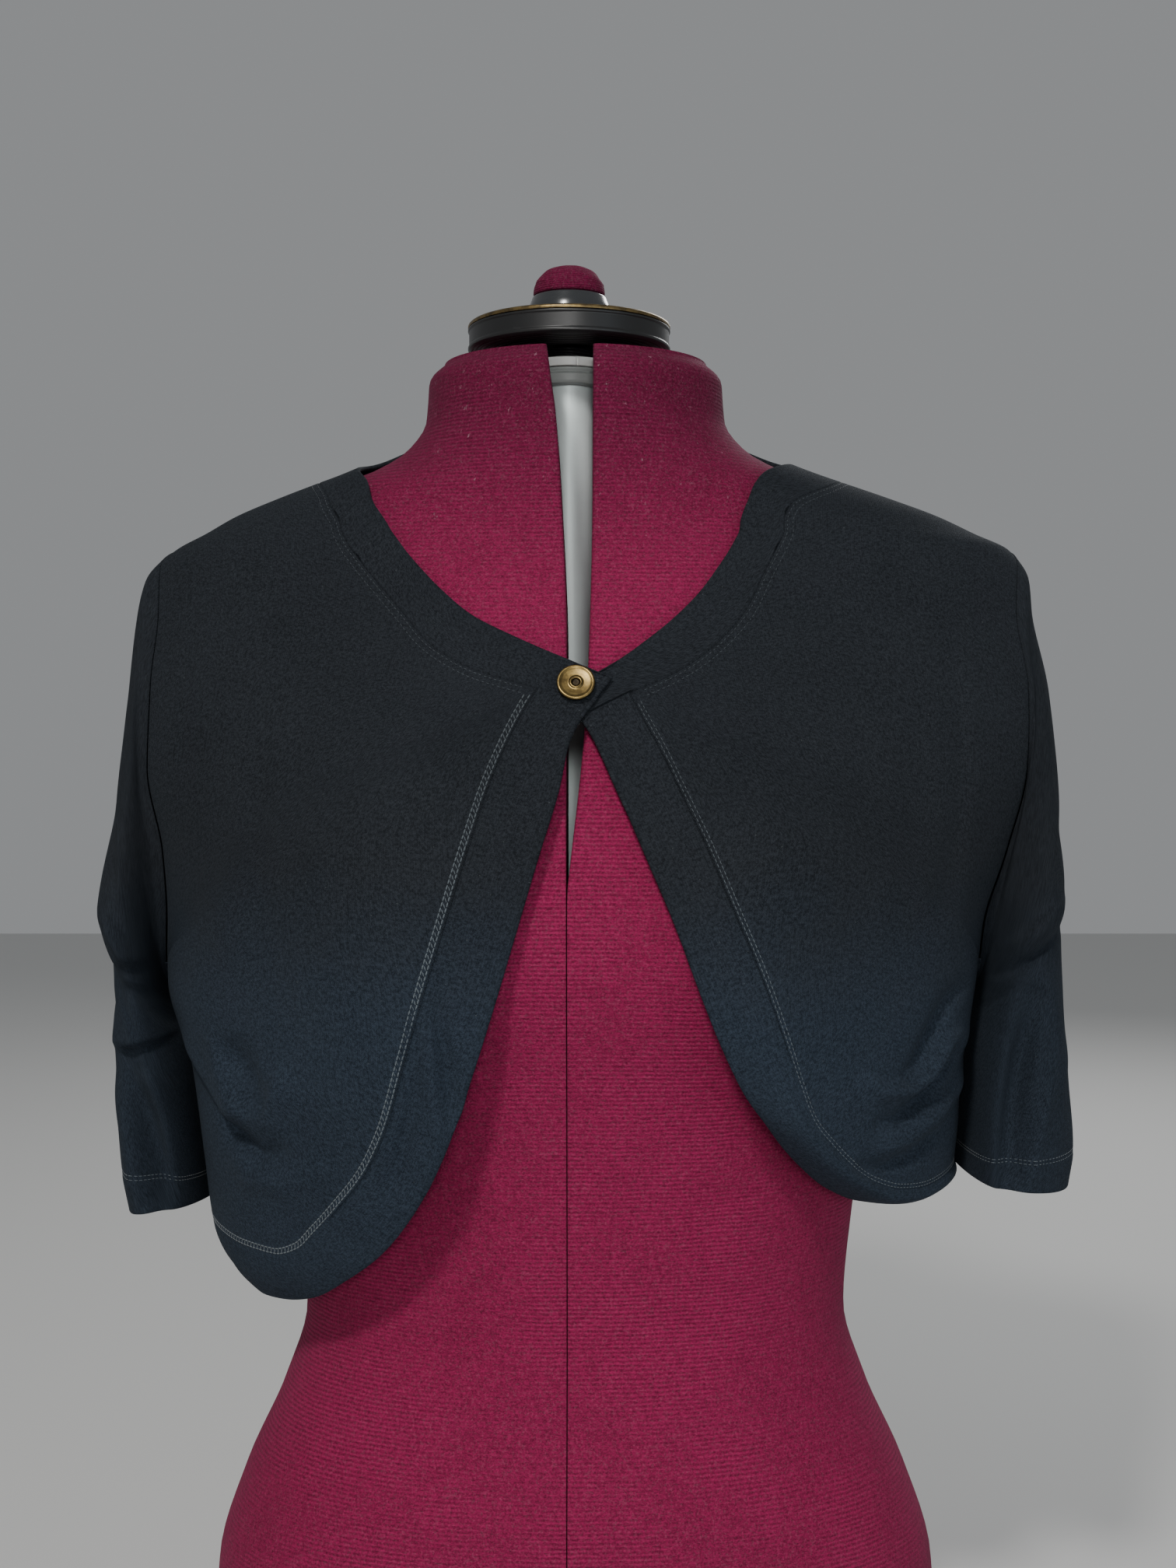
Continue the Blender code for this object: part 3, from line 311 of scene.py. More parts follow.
# Painted light and shade: the same thread is painted paler low down and darker high up, where the stitches
# sit in shade.
thread_painted_light_and_shade = thread_finish.mix(thread_finish.ramp(thread_z, 0.36, 0.47), THREAD_PAINTED_LIGHT_LOW, THREAD_PAINTED_SHADE_HIGH)
thread_finish.set("Base Color", thread_finish.mix(thread_turns, THREAD_SHADE, thread_painted_light_and_shade))
thread_finish.bump(thread_turns, 0.0001, 0.5)
thread_look = thread_finish.material
print("thread ready")

# %% [markdown]
# ## The form's cover
#
# The form wears a wine-red stretch knit with fine ribs that run round the body. Near the neck the
# cover is painted darker as painted shade, and lint settles there. The ribs are a wave in height,
# bent a little by noise so that no two are quite alike.

# %% Wine cover material
RIB = 0.00185         # distance between two ribs of the cover, in metres
WINE = (0.200, 0.0105, 0.0520)
# Painted shade: the darker wine used near the neck.
WINE_NECK_PAINTED_SHADE = (0.175, 0.0100, 0.0520)
WINE_LINT = (0.40, 0.27, 0.31, 1.0)


def wine_cover(name, rib, depth, lint_amount):
    """Ribbed stretch knit. Rib and depth are the ribs' spacing and height, in metres."""
    finish = Finish(name, WINE, 0.85, constants={
        "Sheen Weight": 0.05, "Sheen Roughness": 0.5, "Sheen Tint": (1.0, 0.40, 0.62, 1.0),
        "Specular IOR Level": 0.08})
    z, vector = finish.coordinates()[2:]
    bend = finish.noise(vector, 34.0, 3.0, 0.6)
    fine_bend = finish.noise(vector, 210.0, 2.0, 0.6)
    wave = ((z + bend * 0.0016 + fine_bend * 0.0007) * (2 * math.pi / rib)).math("SINE")
    flattened = finish.stretched(vector, (1.0, 1.0, 1.5))
    stitches = finish.ramp(finish.noise(flattened, 1100.0, 2.0, 0.6), 0.34, 0.66)
    fibres = finish.noise(vector, 2400.0, 2.0, 0.6)
    patches = finish.noise(vector, 16.0, 3.0, 0.55)
    grain = finish.ramp(finish.noise(vector, 430.0, 3.0, 0.7), 0.34, 0.66)
    open_ribs = finish.ramp(patches, 0.38, 0.62) * 0.75 + 0.25
    tone = wave * open_ribs * 0.20 + stitches * 0.42 + (fibres - 0.5) * 0.8 + (patches - 0.5) * 0.5
    tone = tone + grain * 0.22 + 0.16
    # Painted shade: the cover turns darker near the neck; the same mask also puts the real lint there.
    neck_shade_and_lint = finish.ramp(z, 0.50, 0.62)
    deep = finish.mix(neck_shade_and_lint, scaled(WINE, 0.46), scaled(WINE, 0.26))
    bright = finish.mix(neck_shade_and_lint, scaled(WINE, 1.60), scaled(WINE_NECK_PAINTED_SHADE, 0.92))
    dyed = finish.mix(tone.limited(), deep, bright)
    threads = finish.noise(finish.stretched(vector, (1.0, 1.0, 0.6)), 330.0, 4.0, 0.75)
    lint = finish.ramp(threads, 0.63, 0.76) * neck_shade_and_lint * lint_amount
    fluff = finish.ramp(finish.noise(vector, 900.0, 2.0, 0.6), 0.48, 0.72) * 0.075
    finish.set("Base Color", finish.mix((lint + fluff).limited(), dyed, WINE_LINT))
    finish.set("Roughness", 0.78 + stitches * 0.16)
    finish.bump(wave * open_ribs * 0.5 + stitches * 0.4 + grain * 0.3, depth, 0.8)
    return finish.material


cover_look = wine_cover("wine cover", RIB, 0.00032, 0.55)
cushion_look = wine_cover("wine cushion cover", 0.0011, 0.00028, 0.1)
print("wine cover ready")

# %% [markdown]
# ## Metal and plastic at the neck
#
# The pole is a drawn tube: fine streaks run along it, and its polish is uneven. The dial and knob
# are moulded plastic with a soft gloss and a few scuffs. The trim and the button are brass-plated,
# a little dull where hands have rubbed them.

# %% Hard materials
def drawn_metal(name, colour, roughness, metallic):
    """Drawn tube, with streaks along it and uneven polish."""
    finish = Finish(name, colour, roughness, metallic)
    vector = finish.coordinates()[3]
    streaks = finish.noise(finish.stretched(vector, (1.0, 1.0, 0.02)), 900.0, 3.0, 0.6)
    stains = finish.noise(vector, 45.0, 4.0, 0.6)
    finish.set("Roughness", roughness - 0.06 + streaks * 0.14 + stains * 0.10)
    finish.set("Base Color", finish.mix(stains, scaled(colour, 0.86), scaled(colour, 1.08)))
    finish.bump(streaks, 0.00004, 0.5)
    return finish.material


def moulded(name, colour, roughness, scuff, coat=0.0):
    """Moulded plastic with scuffs of a paler colour, and a coat if it is glossy."""
    finish = Finish(name, colour, roughness, constants={"Coat Roughness": 0.2})
    vector = finish.coordinates()[3]
    skin = finish.noise(vector, 1400.0, 2.0, 0.5)
    flattened = finish.stretched(vector, (1.0, 1.0, 3.0))
    marks = finish.ramp(finish.noise(flattened, 130.0, 5.0, 0.7), 0.58, 0.74)
    finish.set("Base Color", finish.mix(marks * scuff, finish.colour, scaled(colour, 2.2)))
    finish.set("Roughness", roughness + marks * 0.16 + skin * 0.05)
    finish.set("Coat Weight", coat)
    finish.bump(skin, 0.00003, 0.4)
    return finish.material


def plated(name, bright, dull, roughness):
    """Plated metal, bright in some places and dull in others."""
    finish = Finish(name, bright, roughness, 1.0)
    vector = finish.coordinates()[3]
    rubbed = finish.noise(vector, 260.0, 4.0, 0.65)
    scratches = finish.noise(finish.stretched(vector, (0.15, 1.0, 1.0)), 1800.0, 3.0, 0.7)
    finish.set("Base Color", finish.mix(finish.ramp(rubbed, 0.35, 0.65), (*dull, 1.0), (*bright, 1.0)))
    finish.set("Roughness", roughness + rubbed * 0.14 + (scratches - 0.5) * 0.12)
    finish.bump(scratches, 0.00002, 0.5)
    return finish.material


pole_look = drawn_metal("drawn aluminium", (0.84, 0.95, 0.94), 0.44, 0.25)
black_look = moulded("black plastic", (0.0095, 0.0097, 0.0100), 0.34, 0.30)
knob_look = moulded("grey gloss plastic", (0.022, 0.024, 0.026), 0.20, 0.20, 0.6)
thread_part_look = moulded("ribbed black plastic", (0.006, 0.006, 0.007), 0.30, 0.25)
white_look = moulded("white plastic", (0.90, 0.92, 0.89), 0.38, 0.0)
frosted_look = moulded("frosted plastic", (0.36, 0.39, 0.38), 0.42, 0.0)
brass_look = plated("plated brass", (0.225, 0.158, 0.058), (0.125, 0.086, 0.034), 0.26)
rim_look = plated("worn brass", (0.26, 0.185, 0.080), (0.13, 0.095, 0.050), 0.30)
# Painted shade: darker brass for the button's hollow middle.
recess_painted_shade_look = plated("shaded brass", (0.06, 0.045, 0.025), (0.02, 0.016, 0.012), 0.36)
print("hard materials ready")

# %% [markdown]
# ## Curves and size tables
#
# A pattern cutter draws a garment from a few sizes and joins them with smooth curves. The same is
# done here: each table names a place and its sizes, and a curve that never overshoots joins them.
# NumPy reads whole rows of points at once, so a fine surface takes seconds.

# %% Curves and tables
class Curve:
    """A smooth curve through points, which never overshoots between two of them."""

    def __init__(self, keys, values):
        self.keys = np.array(keys, float)
        self.values = np.array(values, float)
        steps = np.diff(self.keys)
        slopes = np.diff(self.values) / steps
        before, after = slopes[:-1], slopes[1:]
        heavy = 2 * steps[1:] + steps[:-1]
        light = steps[1:] + 2 * steps[:-1]
        same_way = before * after > 0
        safe_before = np.where(same_way, before, 1.0)
        safe_after = np.where(same_way, after, 1.0)
        middle = (heavy + light) / (heavy / safe_before + light / safe_after)
        middle = np.where(same_way, middle, 0.0)
        self.tangents = np.concatenate([slopes[:1], middle, slopes[-1:]])

    def at(self, key):
        key = np.clip(key, self.keys[0], self.keys[-1])
        i = np.clip(np.searchsorted(self.keys, key, side="right") - 1, 0, len(self.keys) - 2)
        step = self.keys[i + 1] - self.keys[i]
        t = (key - self.keys[i]) / step
        start = (1 + 2 * t) * (1 - t) ** 2 * self.values[i]
        end = t * t * (3 - 2 * t) * self.values[i + 1]
        leave = t * (1 - t) ** 2 * step * self.tangents[i]
        arrive = t * t * (t - 1) * step * self.tangents[i + 1]
        return start + end + leave + arrive


class Table:
    """Rows of sizes with named columns, read smoothly from row to row."""

    def __init__(self, columns, rows, key=None):
        names = columns.split()
        values = {name: [row[i] for row in rows] for i, name in enumerate(names)}
        self.count = len(rows)
        keys = values[key] if key else list(range(self.count))
        self.curves = {name: Curve(keys, values[name]) for name in names[1:]}

    def at(self, name, key):
        return self.curves[name].at(key)


def smooth(value):
    """A soft step from 0 to 1."""
    value = np.clip(value, 0.0, 1.0)
    return value * value * (3 - 2 * value)


def blend(start, end, share):
    """Start where share is 0, end where it is 1."""
    return start + (end - start) * share


def unit(vectors):
    """Vectors made one long."""
    return vectors / np.maximum(np.linalg.norm(vectors, axis=-1, keepdims=True), 1e-9)


def step_lengths(points, axis=0):
    """Distances between each point and the next one along an axis of the grid."""
    return np.linalg.norm(np.diff(points, axis=axis), axis=-1)


print("curves ready")

# %% [markdown]
# ## The form's and the body's sizes
#
# Both the form and the cloth on it are stacks of horizontal ovals. The cloth's ovals are the
# outer face of the shrug. Each row gives a height and how far the oval reaches to each side, to
# the front and to the back. Two soft mounds are added for the bust.

# %% Sizes of the body and of the form
# The body surface: horizontal ovals of the cloth's outer face. Above the shoulder tips the
# ovals shrink along the shoulders to the neck, so the shoulder seams lie on their sides.
BODY = Table("name z left right front back power", [
    ("below hem",    195, 148, 158, 101,  88, 2.25),
    ("hem",          215, 157, 164, 107,  92, 2.25),
    ("low",          240, 168, 171, 112,  97, 2.25),
    ("waist side",   270, 172, 176, 118, 102, 2.25),
    ("ribs",         300, 176, 179, 123, 106, 2.25),
    ("under armpit", 318, 180, 181, 125, 109, 2.20),
    ("armpit",       349, 189, 186, 127, 113, 2.15),
    ("bust",         376, 190, 190, 127, 115, 2.10),
    ("chest",        410, 195, 204, 126, 116, 2.05),
    ("mid armhole",  448, 206, 218, 120, 115, 2.00),
    ("button",       483, 207, 221, 107, 111, 2.00),
    ("high chest",   515, 203, 215,  91, 105, 2.00),
    ("shoulder tip", 541, 196, 209,  79,  97, 2.00),
    ("shoulder 1",   549, 187, 203,  76,  93, 2.00),
    ("shoulder 2",   556, 174, 188,  73,  90, 2.00),
    ("shoulder 3",   564, 160, 171,  70,  86, 2.00),
    ("shoulder 4",   572, 141, 149,  68,  81, 2.00),
    ("shoulder 5",   581, 117, 122,  66,  76, 2.00),
    ("neck root",    588,  98, 101,  65,  72, 2.00),
    ("neck low",     598,  82,  83,  64,  68, 2.00),
    ("neck",         612,  73,  73,  63,  65, 2.00),
    ("neck top",     645,  71,  71,  62,  64, 2.00),
], key="z")

# The form's own ovals, up to the shoulders. From there on it follows the cloth's ovals.
FORM = Table("name z half front back power", [
    ("base",        0, 157, 101, 115, 2.30),
    ("base round",  5, 163, 106, 121, 2.30),
    ("hip",        40, 167, 109, 124, 2.30),
    ("hip top",    85, 165, 110, 122, 2.30),
    ("high hip",  125, 153, 106, 107, 2.25),
    ("low waist", 165, 135,  97,  88, 2.20),
    ("waist",     200, 125,  92,  79, 2.20),
    ("ribs",      245, 129,  96,  82, 2.20),
    ("underbust", 300, 138, 104,  90, 2.20),
    ("bust",      372, 150, 117, 100, 2.15),
    ("chest",     420, 157, 115, 106, 2.05),
    ("armplate",  483, 166, 102, 106, 2.00),
    ("high",      515, 174,  88, 101, 2.00),
    ("tip",       541, 179,  75,  91, 2.00),
    ("shoulder",  549, 173,  71,  87, 2.00),
    ("slope",     564, 147,  65,  80, 2.00),
    ("neck",      600,  80,  62,  64, 2.00),
], key="z")

# Bust mounds: beside the centre, with one spread above the apex and another below it
MOUND = {"x": 76.0, "z": 376.0, "height": 15.0, "across": 44.0, "above": 60.0, "below": 190.0}
FORM_MOUND = {"x": 74.0, "z": 374.0, "height": 19.0, "across": 42.0, "above": 52.0, "below": 55.0}

# Half widths of the slot between the form's halves, from SPLIT_X to each side
SLOT = Table("name z right left", [
    ("closed",      395, 0.15, 0.15),
    ("button",      465, 0.15, 7.50),
    ("low neck",    500, 0.15, 9.30),
    ("mid neck",    565, 2.70, 10.8),
    ("neck",        605, 5.50, 11.0),
    ("ring",        621, 7.70, 11.1),
    ("top",         640, 10.0, 11.2),
], key="z")
print("body rows", BODY.count, "form rows", FORM.count)

# %% [markdown]
# ## The bands' and the sleeves' sizes
#
# A band is a strip folded in two and sewn on by its open side, so each row gives the seam and the
# folded edge. A sleeve is a tube that leaves the armhole and narrows a little to the cuff. Each of
# its sections is an oval between an outer line and an inner line beside the body.

# %% Sizes of the bands and of the sleeves
# Front bands, from the button down and round to the side seam. Seam is where the band is sewn
# to its front, edge is the open edge, and tuck is how far the edge rolls in under the hem.
RIGHT_BAND = Table("name seam_x seam_z edge_x edge_z tuck", [
    ("top",         -15.8, 478.0,    7.8, 472.1,  0),
    ("tab foot",    -19.5, 472.0,    3.3, 466.0,  0),
    ("opening",     -25.0, 462.0,   -1.4, 457.0,  0),
    ("chest",       -34.5, 441.0,   -6.0, 437.0,  0),
    ("bust top",    -43.0, 415.0,  -14.5, 409.0,  0),
    ("bust",        -52.0, 385.0,  -23.5, 378.0,  0),
    ("under bust",  -61.0, 355.0,  -32.5, 347.5,  0),
    ("ribs",        -69.0, 327.0,  -41.5, 319.0,  0),
    ("curve 1",     -76.5, 300.0,  -51.5, 290.0,  0),
    ("curve 2",     -86.0, 280.0,  -63.5, 266.0,  1),
    ("curve 3",     -98.0, 264.0,  -79.0, 245.0,  2),
    ("curve 4",    -109.0, 251.0,  -97.5, 229.0,  3),
    ("hem 1",      -118.0, 241.5, -114.0, 217.5,  4),
    ("hem 2",      -130.0, 237.0, -131.0, 211.5,  5),
    ("hem 3",      -145.0, 237.5, -146.0, 209.5,  5),
    ("side",       -169.0, 242.0, -156.5, 213.0,  5),
])
LEFT_BAND = Table("name seam_x seam_z edge_x edge_z tuck", [
    ("top",          23.7, 477.4,    3.0, 466.4,  0),
    ("tab foot",     28.0, 469.0,    6.5, 461.5,  0),
    ("opening",      36.5, 453.0,   12.0, 451.5,  0),
    ("chest",        43.0, 439.0,   19.5, 434.0,  0),
    ("bust top",     53.5, 416.5,   28.5, 412.0,  0),
    ("bust",         65.0, 389.0,   40.0, 384.5,  0),
    ("under bust",   76.0, 363.0,   51.0, 355.0,  0),
    ("ribs",         85.5, 337.0,   61.0, 330.0,  1),
    ("curve 1",      92.5, 316.5,   69.5, 313.0,  4),
    ("curve 2",      99.0, 300.0,   80.0, 299.5,  8),
    ("curve 3",     108.0, 288.5,   92.5, 285.5, 13),
    ("curve 4",     118.5, 277.5,  105.0, 273.5, 16),
    ("hem 1",       129.5, 269.5,  118.0, 263.0, 18),
    ("hem 2",       141.0, 265.0,  134.0, 255.0, 18),
    ("hem 3",       154.0, 263.5,  150.0, 252.0, 17),
    ("side",        176.0, 267.0,  174.0, 254.0, 15),
])

# The back hem band, from the right side seam round the back to the left side seam
HEM_BAND = Table("name angle seam_z edge_z tuck", [
    ("right side", -90, 242.0, 213.0,  5),
    ("right back", -125, 245.0, 217.0, 4),
    ("back",       -180, 253.0, 226.0, 4),
    ("left back",  -235, 261.0, 238.0, 9),
    ("left side",  -270, 267.0, 254.0, 15),
])

# The neckband, from the buttoned tab round the back of the neck to the end under the tab.
# Stand is how far its free edge stands off the body surface.
NECKBAND = Table("name seam_angle seam_z edge_angle edge_z stand", [
    ("tab end",        2.0, 472.6,     4.2, 483.5,  0.0),
    ("button",        -1.1, 475.6,    -0.3, 490.7,  0.0),
    ("right corner",  -4.4, 478.5,    -4.5, 497.2,  0.0),
    ("right 1",       -7.9, 482.5,    -8.4, 504.3,  0.0),
    ("right 2",      -12.6, 489.0,   -12.6, 513.0,  0.0),
    ("right 3",      -17.5, 499.5,   -16.5, 524.0,  0.0),
    ("right 4",      -21.5, 514.0,   -19.8, 534.6,  0.0),
    ("right 5",      -26.0, 529.5,   -23.4, 545.5,  0.0),
    ("right 6",      -31.2, 545.0,   -28.8, 556.5,  0.0),
    ("right 7",      -39.0, 559.0,   -36.0, 567.0,  0.0),
    ("right 8",      -50.0, 570.0,   -47.0, 577.0,  0.0),
    ("right 9",      -68.0, 577.5,   -67.0, 584.5,  0.5),
    ("right shoulder", -90.0, 581.0, -90.0, 589.0,  1.0),
    ("back 1",      -110.0, 585.0,  -110.0, 598.5,  4.0),
    ("back 2",      -130.0, 589.0,  -130.0, 607.5,  9.0),
    ("back 3",      -155.0, 591.0,  -155.0, 610.5, 12.0),
    ("back 4",      -180.0, 592.0,  -180.0, 611.0, 13.0),
    ("back 5",      -205.0, 591.0,  -205.0, 610.5, 12.0),
    ("back 6",      -230.0, 589.0,  -230.0, 607.5,  9.0),
    ("back 7",      -250.0, 585.0,  -250.0, 598.5,  4.0),
    ("left shoulder", -270.0, 581.0, -270.0, 589.0, 1.0),
    ("left 9",      -292.0, 578.0,  -295.0, 586.0,  0.5),
    ("left 8",      -312.0, 572.0,  -315.0, 581.0,  0.0),
    ("left 7",      -325.7, 564.0,  -326.5, 573.5,  0.0),
    ("left 6",      -333.0, 549.5,  -335.0, 561.5,  0.0),
    ("left 5",      -336.8, 533.0,  -339.6, 548.5,  0.0),
    ("left 4",      -339.8, 515.0,  -342.4, 536.5,  0.0),
    ("left 3",      -343.4, 501.0,  -345.5, 522.5,  0.0),
    ("left 2",      -347.0, 490.5,  -348.9, 510.5,  0.0),
    ("left 1",      -350.5, 483.2,  -352.1, 501.0,  0.0),
    ("left corner", -353.8, 477.9,  -354.8, 493.5,  0.0),
    ("under tab",   -356.6, 472.6,  -358.2, 485.7,  0.0),
    ("under end",   -359.2, 467.2,  -362.2, 477.0,  0.0),
])

# Rows of the neckband where the corners of the fronts and the shoulder seams meet it
RIGHT_CORNER = 2
RIGHT_SHOULDER = 12
LEFT_SHOULDER = 20
LEFT_CORNER = 30

# Sleeves, from the armhole to the cuff. Each section is an oval between an outer line and an
# inner line beside the body, and ridge says where its deepest point lies from inner to outer.
RIGHT_SLEEVE = Table("name v out_x out_z in_z ridge front back front_z", [
    ("armhole",    0.00, -187.0, 549, 349, 0.50, 44, 44,  0),
    ("cap",        0.03, -194.7, 541, 348, 0.50, 44, 44,  0),
    ("cap side",   0.08, -199.7, 525, 347, 0.50, 46, 46,  0),
    ("upper arm",  0.20, -205.2, 488, 345, 0.50, 49, 49,  0),
    ("biceps",     0.36, -210.9, 439, 342, 0.48, 52, 53,  0),
    ("bulge",      0.53, -219.2, 387, 334, 0.46, 54, 56,  0),
    ("fold",       0.61, -215.2, 363, 325, 0.44, 54, 57,  0),
    ("below fold", 0.68, -212.9, 342, 312, 0.42, 55, 57,  1),
    ("elbow",      0.82, -211.5, 299, 283, 0.42, 57, 58,  3),
    ("low",        0.93, -208.9, 266, 260, 0.44, 60, 60,  4),
    ("cuff",       1.00, -204.4, 244, 247, 0.45, 61, 61,  5),
], key="v")
LEFT_SLEEVE = Table("name v out_x out_z in_z ridge front back front_z", [
    ("armhole",    0.00, 203.0, 549, 349, 0.50, 44, 44,  0),
    ("cap",        0.03, 208.7, 540, 348, 0.50, 44, 44,  0),
    ("cap side",   0.08, 210.4, 525, 347, 0.50, 46, 46,  0),
    ("upper arm",  0.20, 218.9, 488, 346, 0.50, 49, 49,  0),
    ("biceps",     0.36, 223.5, 440, 344, 0.48, 52, 53,  0),
    ("bulge",      0.53, 225.2, 389, 338, 0.45, 54, 56,  0),
    ("fold",       0.61, 225.7, 366, 330, 0.42, 54, 57,  0),
    ("below fold", 0.68, 225.9, 346, 319, 0.36, 55, 57,  0),
    ("elbow",      0.82, 228.9, 305, 294, 0.24, 58, 58, -1),
    ("low",        0.93, 231.2, 275, 275, 0.20, 60, 60, -1),
    ("cuff",       1.00, 228.4, 256, 264, 0.20, 61, 61, -1),
], key="v")
SLEEVE_POWER = 2.1
TOP_BLEND = 0.30      # share of the sleeve over which it leaves the armhole's own shape, on top
ARMPIT_BLEND = 0.07   # the same share at the armpit
print("band rows", RIGHT_BAND.count, LEFT_BAND.count, "neckband rows", NECKBAND.count)

# %% [markdown]
# ## Folds
#
# Cloth that hangs from the shoulders and rests on the bust makes a few large folds and many small
# ones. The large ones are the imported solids' own: a line, a width and a height on each side. The
# small ones are creases along short paths. Each has a height and a width on either side, so one
# flank can be steep and the other soft, as in the photograph. The back isn't in the photograph, so
# its creases are drawn by a seeded random generator, and they are shallow.

# %% Large folds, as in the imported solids
TURN = 7.0            # distance over which a fold changes from its crest to its trough
# Each fold: its name, its piece, the way it faces, its line from x0, z0 to x1, z1, its width, and
# the cloth's height above and below that line.
FOLDS = [
    ("right armpit overhang", "sleeve",  1, -222, 382, -198, 352, 16, 3.5, -4.5),
    ("right elbow crease",    "sleeve",  1, -210, 314, -186, 320,  9, 1.5, -4.0),
    ("right sleeve pocket",   "sleeve",  1, -193, 298, -181, 262,  9, -3.5, -3.5),
    ("left armpit overhang",  "sleeve",  1,  230, 384,  190, 352, 16, 4.5, -6.0),
    ("left hook",             "sleeve",  1,  194, 350,  193, 336,  6, 2.5, 2.5),
    ("right back overhang",   "sleeve", -1, -222, 384, -196, 354, 16, 3.5, -4.0),
    ("left back overhang",    "sleeve", -1,  229, 386,  192, 354, 16, 4.0, -5.0),
    ("right swag outer",      "body",    1, -174, 317, -151, 295,  9, 3.0, -2.5),
    ("right swag inner",      "body",    1, -149, 293, -128, 306,  9, 3.0, -2.0),
    ("right front drop",      "body",    1, -150, 440, -146, 375, 12, 1.6, 1.6),
    ("left upper drag",       "body",    1,  180, 322,  157, 306,  8, 2.5, -2.5),
    ("left lower drag",       "body",    1,  176, 300,  142, 288,  8, 2.5, -2.5),
    ("left front drop",       "body",    1,  170, 476,  166, 378, 11, 1.8, 1.8),
    ("right back drag",       "body",   -1, -172, 326, -138, 300, 11, 2.5, -2.0),
    ("left back drag",        "body",   -1,  176, 330,  146, 303, 11, 2.5, -2.0),
    ("right shoulder drop",   "body",   -1, -150, 470, -132, 380, 14, 1.8, 1.8),
    ("left shoulder drop",    "body",   -1,  158, 476,  140, 384, 14, 1.8, 1.8),
]


def fold_height(piece, facing, x, z):
    """Height of the large folds of a piece over its plain surface."""
    total = np.zeros_like(x)
    for _, owner, way, x0, z0, x1, z1, width, above, below in FOLDS:
        if owner != piece:
            continue
        run_x = x1 - x0
        run_z = z1 - z0
        length = math.hypot(run_x, run_z)
        along = ((x - x0) * run_x + (z - z0) * run_z) / length
        beyond = np.maximum(np.maximum(-along, along - length), 0.0)
        offset = ((z - z0) * run_x - (x - x0) * run_z) / length
        offset = math.copysign(1.0, run_x) * offset
        fade = np.exp(-(beyond / width) ** 2 - (offset / width) ** 2)
        share = smooth(0.5 + offset / (2 * TURN))
        shown = facing * way >= 0
        total += shown * fade * blend(below, above, share)
    return total


print("large folds:", len(FOLDS))

# %% Small creases
# Each crease: the way it faces, its height, its width above and below, and its path (x, z). A
# crease with a height below 0 is a hollow.
BODY_CREASES = [
    (1, 4.8, 3.0, 7.0, [(-159, 334), (-153, 318), (-144, 304), (-138, 297), (-130, 299), (-125, 308),
                        (-123, 322)]),
    (1, -4.6, 9.0, 5.0, [(-150, 330), (-143, 316), (-136, 309), (-130, 314)]),
    (1, -4.4, 5.0, 3.0, [(-158, 300), (-150, 288), (-136, 280), (-120, 285)]),
    (1, 2.8, 5.0, 6.0, [(-152, 280), (-140, 270), (-124, 270), (-104, 282)]),
    (1, -3.5, 2.6, 4.0, [(-49.5, 362), (-56, 352), (-50, 325), (-48, 300)]),
    (1, 3.2, 4.0, 3.4, [(-60, 356), (-59.8, 338), (-55.6, 296), (-60, 272)]),
    (1, -3.0, 3.4, 4.4, [(-58, 352), (-63.7, 338), (-70.8, 284), (-79, 262)]),
    (1, 1.2, 5.0, 5.0, [(-66, 352), (-74, 320), (-84, 284)]),
    (1, 0.8, 5.0, 5.0, [(-142, 466), (-141, 430), (-139, 392)]),
    (1, -0.7, 4.0, 5.0, [(-133, 468), (-132, 420), (-134, 380)]),
    (1, 0.7, 4.0, 5.0, [(-124, 462), (-124, 425), (-126, 388)]),
    (1, 0.7, 5.0, 5.0, [(-106, 460), (-107, 425), (-104, 372)]),
    (1, -0.5, 5.0, 5.0, [(-92, 458), (-94, 420), (-90, 380)]),
    (1, -0.8, 6.0, 4.0, [(-170, 520), (-174, 480), (-171, 430)]),
    (1, -1.9, 3.6, 6.0, [(166, 500), (168, 440), (163, 400), (158, 372)]),
    (1, 1.1, 6.0, 5.0, [(154, 480), (155, 430), (150, 386)]),
    (1, 0.7, 5.0, 5.0, [(136, 470), (134, 420), (130, 372)]),
    (1, -0.7, 6.0, 5.0, [(122, 478), (120, 430), (118, 370)]),
    (1, -5.8, 3.0, 6.0, [(177, 352), (166, 345), (158, 331), (150, 318), (141, 306)]),
    (1, 6.1, 4.0, 3.4, [(174, 331), (163, 327), (154, 316), (143, 309), (130, 310), (120, 318)]),
    (1, -6.1, 2.8, 5.0, [(176, 322), (162, 314), (154, 304), (140, 296), (126, 295)]),
    (1, 4.0, 5.0, 5.0, [(168, 300), (156, 292), (142, 285), (126, 284)]),
    (1, -3.7, 4.0, 5.0, [(160, 288), (148, 280), (134, 276), (118, 279)]),
    (1, -1.2, 5.0, 6.0, [(96, 330), (104, 306), (118, 292)]),
    (1, 0.9, 5.0, 5.0, [(86, 322), (94, 302), (106, 288)]),
    (1, -2.5, 3.0, 6.0, [(12, 466), (17, 458), (21, 446), (27, 430)]),
    (1, 1.1, 4.0, 4.0, [(6, 460), (12, 448), (19, 432), (26, 415)]),
    (1, -0.9, 3.0, 4.0, [(-19, 487), (-12, 485.5), (-7, 484.5), (0, 486)]),
    (1, 0.5, 5.0, 6.0, [(-30, 480), (-50, 452), (-66, 420)]),
    (1, 0.5, 6.0, 6.0, [(34, 480), (54, 448), (70, 416)]),
]
